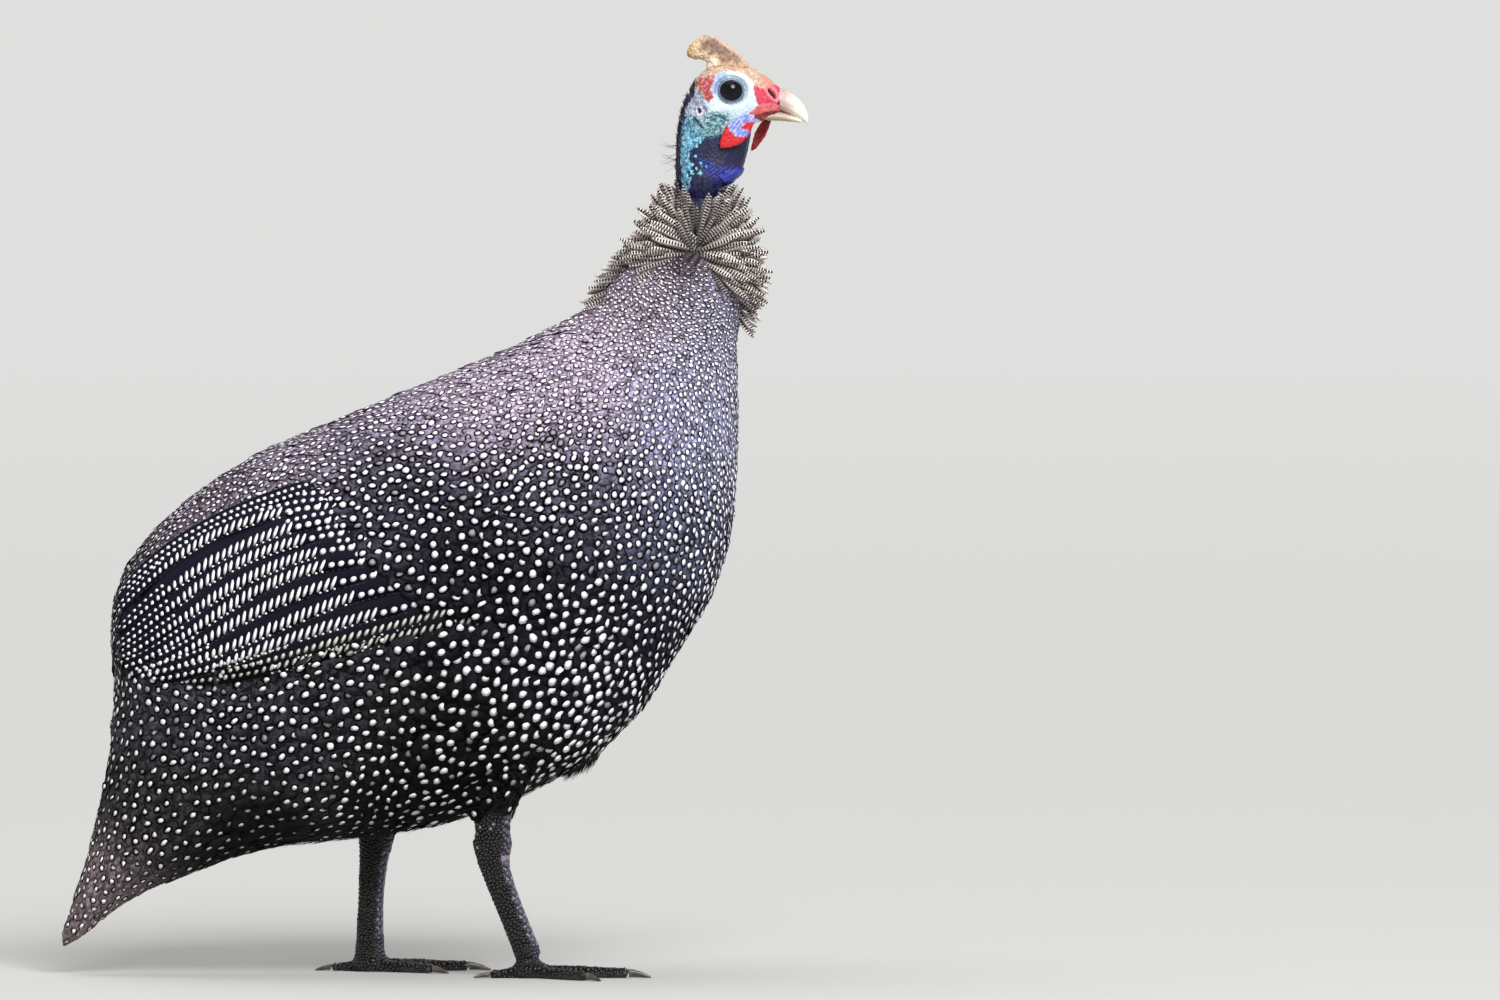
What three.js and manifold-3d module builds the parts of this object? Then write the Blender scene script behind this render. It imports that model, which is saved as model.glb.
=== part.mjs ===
// A helmeted guineafowl, life size, standing with its neck up: millimetres, +Z up,
// the bird faces +X, its left side is +Y and its soles are at z = 0.
import * as THREE from "three";
import { mergeVertices } from "three/addons/utils/BufferGeometryUtils.js";
import Module from "manifold-3d";

const wasm = await Module();
wasm.setup();

// Gap between neighbours, and how far the folded wing stands off and reaches into the body
const GAP = 0.3;
const WING_PROUD = 3.5;
const WING_DEPTH = 6;
const WING_TOP_OFFSET = 24;

// Sections of the body from the neck base to the tail tip, each with its upper edge [x, z],
// its lower edge [x, z] and its half width across the bird
const TRUNK_SECTIONS = [
  { at: "neck base", upper: [80, 329], lower: [149, 320], half: 33 },
  { at: "shoulder", upper: [46, 312], lower: [150, 283], half: 47 },
  { at: "upper breast", upper: [3, 294], lower: [149, 238], half: 62 },
  { at: "mid breast", upper: [-40, 276], lower: [142, 196], half: 72 },
  { at: "widest place", upper: [-86, 257], lower: [121, 159], half: 77 },
  { at: "lower breast", upper: [-127, 230], lower: [92, 116], half: 74 },
  { at: "belly", upper: [-153, 200], lower: [49, 90], half: 67 },
  { at: "rump", upper: [-160, 172], lower: [-4, 72], half: 59 },
  { at: "vent", upper: [-157, 142], lower: [-50, 66], half: 50 },
  { at: "tail base", upper: [-160, 107], lower: [-87, 62], half: 40 },
  { at: "mid tail", upper: [-166, 75], lower: [-118, 51], half: 30 },
  { at: "end of tail feathers", upper: [-174, 46], lower: [-149, 38], half: 19 },
  { at: "tail tip", upper: [-183.4, 16], lower: [-178, 15], half: 7 },
];
const RUFF_SECTIONS = [
  { at: "collar", upper: [117, 385], lower: [146.5, 385], half: 14 },
  { at: "upper ruff", upper: [107, 377], lower: [152, 377], half: 21 },
  { at: "mid ruff", upper: [97, 361], lower: [158.5, 360], half: 30 },
  { at: "spread tips", upper: [87, 345], lower: [162, 342], half: 38 },
  { at: "under the tips", upper: [82, 336], lower: [159.5, 331], half: 39 },
  { at: "neck foot", upper: [80, 326], lower: [152, 317], half: 34 },
];
const NECK_SECTIONS = [
  { at: "under the crown", upper: [124, 431], lower: [156, 417], half: 10.5 },
  { at: "throat", upper: [120.5, 420], lower: [154.5, 407], half: 11 },
  { at: "mid throat", upper: [119, 406], lower: [152.5, 399], half: 11 },
  { at: "blue fold", upper: [119, 396], lower: [150.5, 393], half: 11.5 },
  { at: "below the fold", upper: [119.5, 387], lower: [143, 387], half: 12 },
  { at: "inside the collar", upper: [121, 380], lower: [141, 380], half: 10 },
];
const HEAD_SECTIONS = [
  { at: "back of the skull", upper: [126, 434], lower: [126.5, 426], half: 5 },
  { at: "nape", upper: [128.5, 438.5], lower: [128.5, 421], half: 9 },
  { at: "ear", upper: [133, 443.5], lower: [133, 416], half: 11.6 },
  { at: "behind the eye", upper: [139, 446.7], lower: [139, 413], half: 12.5 },
  { at: "eye", upper: [145.5, 447], lower: [145.5, 412.8], half: 12.5 },
  { at: "cheek", upper: [151, 446], lower: [151, 414.5], half: 11.2 },
  { at: "gape", upper: [155.5, 444.2], lower: [155.5, 417], half: 9.6 },
  { at: "cere", upper: [161, 441.5], lower: [161, 418.6], half: 7.6 },
  { at: "nostril", upper: [166, 437.2], lower: [166, 420], half: 6.3 },
  { at: "face edge", upper: [169, 434.6], lower: [169, 423.4], half: 5.3 },
];
const CASQUE_SECTIONS = [
  { at: "root on the crown", upper: [157, 442], lower: [132, 440], half: 7.6 },
  { at: "base", upper: [153.4, 447], lower: [133.5, 444.6], half: 6.4 },
  { at: "waist", upper: [150, 450.5], lower: [133.6, 447.4], half: 5 },
  { at: "front slope", upper: [145, 455], lower: [131.5, 448.6], half: 4.3 },
  { at: "crest", upper: [137, 459.8], lower: [128.5, 448.7], half: 4.2 },
  { at: "knob", upper: [130.7, 460], lower: [126, 449.2], half: 3.9 },
  { at: "knob end", upper: [125.6, 455.8], lower: [124.2, 450.6], half: 2.4 },
];
const UPPER_BILL_SECTIONS = [
  { at: "inside the face", upper: [160, 436.6], lower: [160, 424], half: 5.2 },
  { at: "bill base", upper: [168, 435.3], lower: [168, 423.8], half: 6.1 },
  { at: "ridge", upper: [173.5, 432.9], lower: [173.5, 422.2], half: 5 },
  { at: "hook shoulder", upper: [178.5, 429.6], lower: [178.5, 419.6], half: 3.7 },
  { at: "hook", upper: [182, 425], lower: [181.8, 418], half: 2.2 },
  { at: "bill tip", upper: [183.4, 420], lower: [183, 416.8], half: 0.8 },
];
const LOWER_BILL_SECTIONS = [
  { at: "inside the face", upper: [158, 423], lower: [158, 418.8], half: 4.8 },
  { at: "base", upper: [167, 423.4], lower: [167, 418.6], half: 4.9 },
  { at: "middle", upper: [173, 422], lower: [173, 418.3], half: 3.9 },
  { at: "tip", upper: [180, 418.9], lower: [180, 417.6], half: 1.4 },
];

// Folded wing seen from the side: shoulder, leading edge, lower edge of the flight feathers, tip
const WING_OUTLINE = [
  [62, 322],
  [92, 278],
  [88, 226],
  [46, 181],
  [2, 163],
  [-80, 151],
  [-128, 144],
  [-166, 148],
  [-174, 175],
  [-176, 330],
];

// Eyes, wattles
const EYE = { x: 145.6, z: 433.4, radius: 6.6, bulge: 12.9 };
const NEAR_WATTLE = { side: -1, y: 12.2, root: [157, 422], tip: [140, 404.8], breadth: 9.4 };
const FAR_WATTLE = { side: 1, y: 12.2, root: [164.5, 421.5], tip: [155.5, 403], breadth: 7.6 };
const WATTLE_THICK = 1.6;
const WATTLE_EDGE = 0.7;

// Legs: the bird's right leg is forward, its left leg back
const LEGS = [
  {
    side: "right",
    y: -27,
    thigh: [
      { at: "flank", upper: [8, 132], lower: [70, 138], half: 23 },
      { at: "feathered thigh", upper: [21.5, 97], lower: [50, 99], half: 16 },
      { at: "lower thigh", upper: [20, 82], lower: [41.5, 83], half: 11 },
      { at: "hock feathers", upper: [18, 70], lower: [39, 70], half: 7.5 },
    ],
    shank: [
      { at: "hock", upper: [18.3, 68], lower: [39, 67], half: 6.9 },
      { at: "below the hock", upper: [21.6, 56], lower: [37.6, 56], half: 5.5 },
      { at: "mid shank", upper: [28, 40], lower: [41.5, 42], half: 4.7 },
      { at: "lower shank", upper: [35.5, 21.5], lower: [48.5, 24], half: 4.8 },
      { at: "ankle", upper: [40, 9], lower: [54, 11.5], half: 6.4 },
    ],
    foot: [47.5, 0],
    heading: -3,
  },
  {
    side: "left",
    y: 27,
    thigh: [
      { at: "flank", upper: [-58, 124], lower: [4, 128], half: 23 },
      { at: "feathered thigh", upper: [-41, 88], lower: [-10, 92], half: 15 },
      { at: "lower thigh", upper: [-38.5, 77], lower: [-17.5, 78], half: 9.5 },
      { at: "hock feathers", upper: [-38, 69.5], lower: [-18.5, 69.5], half: 7.5 },
    ],
    shank: [
      { at: "hock", upper: [-38, 67], lower: [-19.5, 67], half: 6.9 },
      { at: "below the hock", upper: [-37.4, 55], lower: [-22.8, 55], half: 5.4 },
      { at: "mid shank", upper: [-38, 37], lower: [-25, 37], half: 4.6 },
      { at: "lower shank", upper: [-38.8, 20], lower: [-25.2, 20], half: 4.9 },
      { at: "ankle", upper: [-40, 8], lower: [-24.5, 8], half: 6.4 },
    ],
    foot: [-31.5, 0],
    heading: 5,
  },
];
const FOOT_PAD = { halfLength: 10, halfWidth: 8.5, top: 9 };

// Net of the round pieces: eyes and foot pads
const BALL_AROUND = 16;
const BALL_ROWS = 9;

// Toes: length without the claw, turn outwards from the middle toe in degrees, start radius, claw
const TOES = [
  { name: "middle", length: 43, turn: 0, radius: 3.9, claw: 14 },
  { name: "inner", length: 31, turn: -37, radius: 3.6, claw: 12.5 },
  { name: "outer", length: 33, turn: 40, radius: 3.6, claw: 12.5 },
  { name: "hind", length: 15, turn: 168, radius: 2.9, claw: 11 },
];
const TOE_START = 4;
const TOE_TAPER = 0.72;
const TOE_SINK = 0.72;

// Colours, roughness
const FINISH = {
  plumage: { color: 0x2a2b30, roughness: 0.75 },
  tailFeathers: { color: 0x2c2926, roughness: 0.75 },
  ruff: { color: 0x8b8078, roughness: 0.8 },
  skin: { color: 0x6fa3c4, roughness: 0.5 },
  throat: { color: 0x1d2348, roughness: 0.5 },
  casque: { color: 0x8f5f38, roughness: 0.55 },
  horn: { color: 0xb5a47f, roughness: 0.4 },
  eye: { color: 0x120c0a, roughness: 0.08 },
  wattle: { color: 0xa3262b, roughness: 0.45 },
  leg: { color: 0x3a3534, roughness: 0.6 },
  claw: { color: 0x2a2523, roughness: 0.4 },
};

const group = new THREE.Group();

// A closed geometry as a solid for cutting and joining
function solidOf(geometry) {
  const bare = geometry.clone();
  bare.deleteAttribute("normal");
  bare.deleteAttribute("uv");
  const merged = mergeVertices(bare, 1e-3);
  const mesh = new wasm.Mesh({
    numProp: 3,
    vertProperties: merged.attributes.position.array,
    triVerts: new Uint32Array(merged.index.array),
  });
  return new wasm.Manifold(mesh);
}

// Only the largest body of a cut piece: slivers left by the cut go
function largestBody(solid) {
  return solid.decompose().reduce((best, body) => (body.volume() > best.volume() ? body : best));
}

function addNode(name, solid, finish) {
  const { numProp, vertProperties, triVerts } = largestBody(solid).getMesh();
  const points = new THREE.InterleavedBuffer(new Float32Array(vertProperties), numProp);
  const geometry = new THREE.BufferGeometry();
  geometry.setAttribute("position", new THREE.InterleavedBufferAttribute(points, 3, 0));
  geometry.setIndex(new THREE.BufferAttribute(new Uint32Array(triVerts), 1));
  const mesh = new THREE.Mesh(geometry.toNonIndexed(), new THREE.MeshStandardMaterial(finish));
  mesh.geometry.computeVertexNormals();
  mesh.name = name;
  group.add(mesh);
}

// A smooth body through sections. A unit sphere gives the net: its first and last rings lie on the
// end sections, its poles dome them by endDome, and grow moves the whole surface outwards.
function loft(sections, { around = 20, rows = 12, grow = 0, endDome = 1, y = 0, power = 2.2, egg = 0 } = {}) {
  const curveOf = (key) =>
    new THREE.CatmullRomCurve3(sections.map((s) => new THREE.Vector3(s[key][0], 0, s[key][1])));
  const upperCurve = curveOf("upper");
  const lowerCurve = curveOf("lower");
  const halfCurve = new THREE.CatmullRomCurve3(sections.map((s, i) => new THREE.Vector3(i, 0, s.half)));
  const centreAt = (t) => upperCurve.getPoint(t).lerp(lowerCurve.getPoint(t), 0.5);
  const step = 0.01;
  const startOut = centreAt(0).sub(centreAt(step)).normalize();
  const endOut = centreAt(1).sub(centreAt(1 - step)).normalize();
  const upAtMiddle = upperCurve.getPoint(0.5).sub(lowerCurve.getPoint(0.5));
  const alongAtMiddle = centreAt(0.5 + step).sub(centreAt(0.5));
  const lateralSign = Math.sign(alongAtMiddle.cross(upAtMiddle).y);

  const geometry = new THREE.SphereGeometry(1, around, rows + 1);
  const net = geometry.attributes.uv;
  const position = geometry.attributes.position;
  for (let i = 0; i < position.count; i++) {
    const row = Math.round((1 - net.getY(i)) * (rows + 1));
    const isPole = row === 0 || row === rows + 1;
    const t = THREE.MathUtils.clamp((row - 1) / (rows - 1), 0, 1);
    const angle = net.getX(i) * 2 * Math.PI;
    const point = centreAt(t);
    if (isPole) {
      point.addScaledVector(row === 0 ? startOut : endOut, endDome + grow);
    } else {
      const upward = upperCurve.getPoint(t).sub(lowerCurve.getPoint(t)).multiplyScalar(0.5);
      const half = halfCurve.getPoint(t).z + grow;
      upward.setLength(upward.length() + grow);
      const rounded = (value) => Math.sign(value) * Math.abs(value) ** (2 / power);
      const rise = rounded(-Math.cos(angle));
      point.addScaledVector(upward, rise);
      point.y += lateralSign * half * rounded(Math.sin(angle)) * (1 - egg * rise);
      if (row === 1) point.addScaledVector(startOut, grow);
      if (row === rows) point.addScaledVector(endOut, grow);
    }
    position.setXYZ(i, point.x, point.y + y, point.z);
  }
  return solidOf(geometry);
}

// A prism across the bird from an outline [x, z], between two y values
function crossPrism(outline, yLow, yHigh, bevel = 0) {
  const shape = new THREE.Shape(outline.map(([x, z]) => new THREE.Vector2(x, z)));
  const geometry = new THREE.ExtrudeGeometry(shape, {
    depth: yHigh - yLow - 2 * bevel,
    bevelEnabled: bevel > 0,
    bevelThickness: bevel,
    bevelSize: bevel,
    bevelOffset: -bevel,
    bevelSegments: 1,
  });
  geometry.translate(0, 0, -(yHigh - bevel));
  geometry.rotateX(Math.PI / 2);
  return solidOf(geometry);
}

// A big block on the side of a slanted plane that its direction [x, z] points to
function halfSpace([x, z], [directionX, directionZ], reach = 600) {
  const block = new THREE.BoxGeometry(reach, reach, reach);
  block.translate(reach / 2, 0, 0);
  block.rotateY(-Math.atan2(directionZ, directionX));
  block.translate(x, 0, z);
  return solidOf(block);
}

function ball(radius, x, y, z, scale = [1, 1, 1]) {
  const geometry = new THREE.SphereGeometry(radius, BALL_AROUND, BALL_ROWS);
  geometry.rotateX(Math.PI / 2);
  geometry.scale(...scale);
  geometry.translate(x, y, z);
  return solidOf(geometry);
}

// Body and tail: one form, parted by a slanted cut at the tail base
const bodyForm = (grow) =>
  loft(TRUNK_SECTIONS, { around: 26, rows: 19, grow, endDome: 2, power: 2.15, egg: 0.07 });
const TAIL_CUT = { through: [-115, 88], towards: [-0.62, -0.78] };
const alongTail = (distance) => [
  TAIL_CUT.through[0] + TAIL_CUT.towards[0] * distance,
  TAIL_CUT.through[1] + TAIL_CUT.towards[1] * distance,
];
const behindTailCut = halfSpace(alongTail(GAP), TAIL_CUT.towards);
const beforeTailCut = halfSpace(TAIL_CUT.through, TAIL_CUT.towards.map((value) => -value));

// Wings: a shell over the body inside the side outline, with a slot cut for it in the trunk
const WING_MIDDLE = [-40, 230];
const grownOutline = (grow) =>
  WING_OUTLINE.map(([x, z]) => {
    const away = new THREE.Vector2(x - WING_MIDDLE[0], z - WING_MIDDLE[1]);
    away.setLength(away.length() + grow);
    return [WING_MIDDLE[0] + away.x, WING_MIDDLE[1] + away.y];
  });
function wingZone(side, grow) {
  const beyondBody = 200;
  const near = side * (WING_TOP_OFFSET - grow);
  const far = side * beyondBody;
  return crossPrism(grownOutline(grow * 1.5), Math.min(near, far), Math.max(near, far));
}
const wingShell = bodyForm(WING_PROUD).subtract(bodyForm(-WING_DEPTH));
const wingSlot = bodyForm(WING_PROUD + 1).subtract(bodyForm(-WING_DEPTH - GAP));
const ruffForm = (grow) => loft(RUFF_SECTIONS, { around: 20, rows: 9, grow, endDome: 1 });

let trunk = bodyForm(0).intersect(beforeTailCut).subtract(ruffForm(GAP));
for (const [side, name] of [
  [1, "left"],
  [-1, "right"],
]) {
  const wing = wingShell.intersect(wingZone(side, 0)).intersect(beforeTailCut).subtract(ruffForm(GAP));
  addNode("wing_" + name, wing, FINISH.plumage);
  trunk = trunk.subtract(wingSlot.intersect(wingZone(side, GAP)));
}

// Legs: thigh and shank follow the side outline, toes fan out from a foot pad on the floor
const floor = halfSpace([0, 0], [0, 1]);
function placeToe(solid, toe, leg) {
  const outwards = leg.side === "left" ? 1 : -1;
  return solid
    .rotate([0, 0, leg.heading + toe.turn * outwards])
    .translate([leg.foot[0], leg.y, leg.foot[1]]);
}
function toeForm(toe, grow) {
  const end = TOE_START + toe.length;
  const sections = [0, 0.25, 0.5, 0.75, 1].map((part) => {
    const radius = toe.radius * THREE.MathUtils.lerp(1, TOE_TAPER, part);
    const knuckle = part === 0.5 ? 1.06 : 1;
    const x = THREE.MathUtils.lerp(TOE_START, end, part);
    const bottom = -radius * (1 - TOE_SINK);
    return { upper: [x, bottom + 2 * radius * knuckle], lower: [x, bottom], half: radius * knuckle };
  });
  return loft(sections, { around: 10, rows: 5, grow, endDome: 1.2 });
}
function clawForm(toe, grow) {
  const start = TOE_START + toe.length - 2;
  const tall = toe.radius * TOE_TAPER * 0.8;
  const sections = [
    { upper: [start, 2.1 * tall], lower: [start, 0.5], half: tall * 0.62 },
    { upper: [start + toe.claw * 0.5, 1.8 * tall], lower: [start + toe.claw * 0.45, 0.4], half: tall * 0.5 },
    { upper: [start + toe.claw, 0.9], lower: [start + toe.claw - 0.3, 0.1], half: 0.45 },
  ];
  return loft(sections, { around: 8, rows: 4, grow, endDome: 0.4 });
}

for (const leg of LEGS) {
  const at = { y: leg.y, around: 12 };
  const thighForm = (grow) => loft(leg.thigh, { ...at, rows: 7, grow });
  const shankForm = (grow) => loft(leg.shank, { ...at, rows: 8, grow });
  const { halfLength, halfWidth, top } = FOOT_PAD;
  const padForm = (grow) =>
    ball(1, leg.foot[0], leg.y, top * 0.42, [halfLength + grow, halfWidth + grow, top * 0.58 + grow]);
  addNode("thigh_" + leg.side, thighForm(0).subtract(bodyForm(GAP)), FINISH.plumage);
  addNode(
    "shank_" + leg.side,
    shankForm(0).subtract(thighForm(GAP)).subtract(padForm(GAP)),
    FINISH.leg,
  );
  addNode("foot_" + leg.side, padForm(0).intersect(floor), FINISH.leg);
  for (const toe of TOES) {
    const form = (grow) => placeToe(toeForm(toe, grow), toe, leg);
    const claw = placeToe(clawForm(toe, 0), toe, leg).subtract(form(GAP)).intersect(floor);
    const nearer = TOES.slice(0, TOES.indexOf(toe)).map((other) => placeToe(toeForm(other, GAP), other, leg));
    const flesh = nearer.reduce((solid, other) => solid.subtract(other), form(0).subtract(padForm(GAP)));
    addNode("toe_" + toe.name + "_" + leg.side, flesh.subtract(shankForm(GAP)).intersect(floor), FINISH.leg);
    addNode("claw_" + toe.name + "_" + leg.side, claw, FINISH.claw);
  }
}
addNode("trunk", trunk, FINISH.plumage);
addNode("tail", bodyForm(0).intersect(behindTailCut), FINISH.tailFeathers);

// Neck: the feathered ruff below, the bare neck above it, both parted from the head
const headForm = (grow) => loft(HEAD_SECTIONS, { around: 20, rows: 12, grow, endDome: 0.8 });
const neckForm = (grow) => loft(NECK_SECTIONS, { around: 16, rows: 8, grow, endDome: 0.8 });
addNode("neck_lower", ruffForm(0).subtract(neckForm(GAP)), FINISH.ruff);
addNode("neck_upper", neckForm(0).subtract(headForm(GAP)), FINISH.throat);

// Head: casque and bill are set into it, the eyes fill their sockets
const casqueForm = (grow) => loft(CASQUE_SECTIONS, { around: 14, rows: 11, grow, endDome: 0.8 });
const upperBillForm = (grow) => loft(UPPER_BILL_SECTIONS, { around: 12, rows: 9, grow, endDome: 0.3 });
const lowerBillForm = (grow) => loft(LOWER_BILL_SECTIONS, { around: 12, rows: 6, grow, endDome: 0.4 });
const eyeForm = (side, grow) =>
  ball(EYE.radius + grow, EYE.x, side * (EYE.bulge - EYE.radius), EYE.z);
let head = headForm(0);
for (const [side, name] of [
  [1, "left"],
  [-1, "right"],
]) {
  head = head.subtract(eyeForm(side, GAP));
  addNode("eye_" + name, eyeForm(side, 0).subtract(eyeForm(-side, GAP)), FINISH.eye);
}
addNode("casque", casqueForm(0).subtract(headForm(GAP)), FINISH.casque);
addNode("bill_upper", upperBillForm(0).subtract(headForm(GAP)), FINISH.horn);
addNode("bill_lower", lowerBillForm(0).subtract(headForm(GAP)).subtract(upperBillForm(GAP)), FINISH.horn);
addNode("head", head, FINISH.skin);

// Wattles: leaf shapes that hang from the gape, one each side
function wattleOutline({ root, tip, breadth }) {
  const start = new THREE.Vector2(...root);
  const end = new THREE.Vector2(...tip);
  const along = end.clone().sub(start);
  const across = new THREE.Vector2(-along.y, along.x).normalize();
  const breadths = [0.28, 0.42, 0.5, 0.46, 0.3];
  const edge = (sign, list) =>
    list.map((part, i) => {
      const t = (i + 0.4) / list.length;
      const middle = start.clone().addScaledVector(along, sign > 0 ? t : 1 - t);
      return middle.addScaledVector(across, sign * part * breadth);
    });
  return [...edge(1, breadths), end, ...edge(-1, [...breadths].reverse()), start].map((p) => [p.x, p.y]);
}
for (const [wattle, name] of [
  [NEAR_WATTLE, "right"],
  [FAR_WATTLE, "left"],
]) {
  const inner = wattle.side * wattle.y;
  const outer = wattle.side * (wattle.y + WATTLE_THICK);
  const leaf = crossPrism(wattleOutline(wattle), Math.min(inner, outer), Math.max(inner, outer), WATTLE_EDGE);
  addNode("wattle_" + name, leaf.subtract(headForm(GAP)).subtract(neckForm(GAP)), FINISH.wattle);
}

export default group;
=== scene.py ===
"""A helmeted guineafowl, life size, as a museum model: one skin, feathers laid over it one by one,
white spots on the feathers, horn bill and casque, wet eyes and scaled legs. Metres, bird faces +X."""
import math

import bmesh
import bpy
import numpy as np
from mathutils import Matrix, Vector, kdtree, noise
from mathutils.bvhtree import BVHTree


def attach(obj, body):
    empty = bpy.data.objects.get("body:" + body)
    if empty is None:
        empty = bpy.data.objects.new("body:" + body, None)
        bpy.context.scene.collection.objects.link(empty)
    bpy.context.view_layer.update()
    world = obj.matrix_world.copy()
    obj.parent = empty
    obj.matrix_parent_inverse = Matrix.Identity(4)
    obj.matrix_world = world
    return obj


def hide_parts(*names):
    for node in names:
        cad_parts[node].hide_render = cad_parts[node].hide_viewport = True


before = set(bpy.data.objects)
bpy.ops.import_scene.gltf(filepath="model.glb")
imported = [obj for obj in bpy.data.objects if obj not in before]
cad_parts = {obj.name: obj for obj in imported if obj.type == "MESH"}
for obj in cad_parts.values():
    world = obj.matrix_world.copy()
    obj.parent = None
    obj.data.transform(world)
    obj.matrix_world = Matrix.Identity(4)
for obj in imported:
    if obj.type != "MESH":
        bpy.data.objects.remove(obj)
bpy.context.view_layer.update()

MM = 0.001
SIDES = {"left": 1, "right": -1}
TOES = ("middle", "inner", "outer", "hind")
SEED = 20
random = np.random.default_rng(SEED)

# Heights in metres where the ruff begins, where the head's own colours begin and where the legs end
RUFF_FOOT_Z = 0.352
HEAD_FOOT_Z = 0.3770
LEG_TOP_Z = 0.0668

# Image frame and camera: a long lens, level with the bird, almost from the side
IMAGE_WIDTH_MM = 735.0
SENSOR_MM = 36.0
LENS_MM = 400.0
AIM_MM = (154.8, 0.0, 232.8)
CAMERA_DROP_DEGREES = 1.8


# Colours: sRGB hex, as read off the plumage and skin, turned to linear
def linear(hex_colour):
    """(r, g, b) in linear light from an sRGB hex number."""
    channels = [(hex_colour >> shift & 255) / 255 for shift in (16, 8, 0)]
    return tuple(c / 12.92 if c <= 0.04045 else ((c + 0.055) / 1.055) ** 2.4 for c in channels)


def rgba(hex_colour):
    """The same with alpha, as a shader's socket takes it."""
    return (*linear(hex_colour), 1.0)


def flat(hex_colour, count):
    """One colour for each of count vertices or forms."""
    return np.tile(linear(hex_colour), (count, 1))


def shares(value, *pairs):
    """Straight lines between pairs of (value, result)."""
    return np.interp(value, *zip(*pairs))


def unit(vectors):
    """Vectors made one long."""
    return vectors / np.linalg.norm(vectors, axis=-1, keepdims=True)


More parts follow.
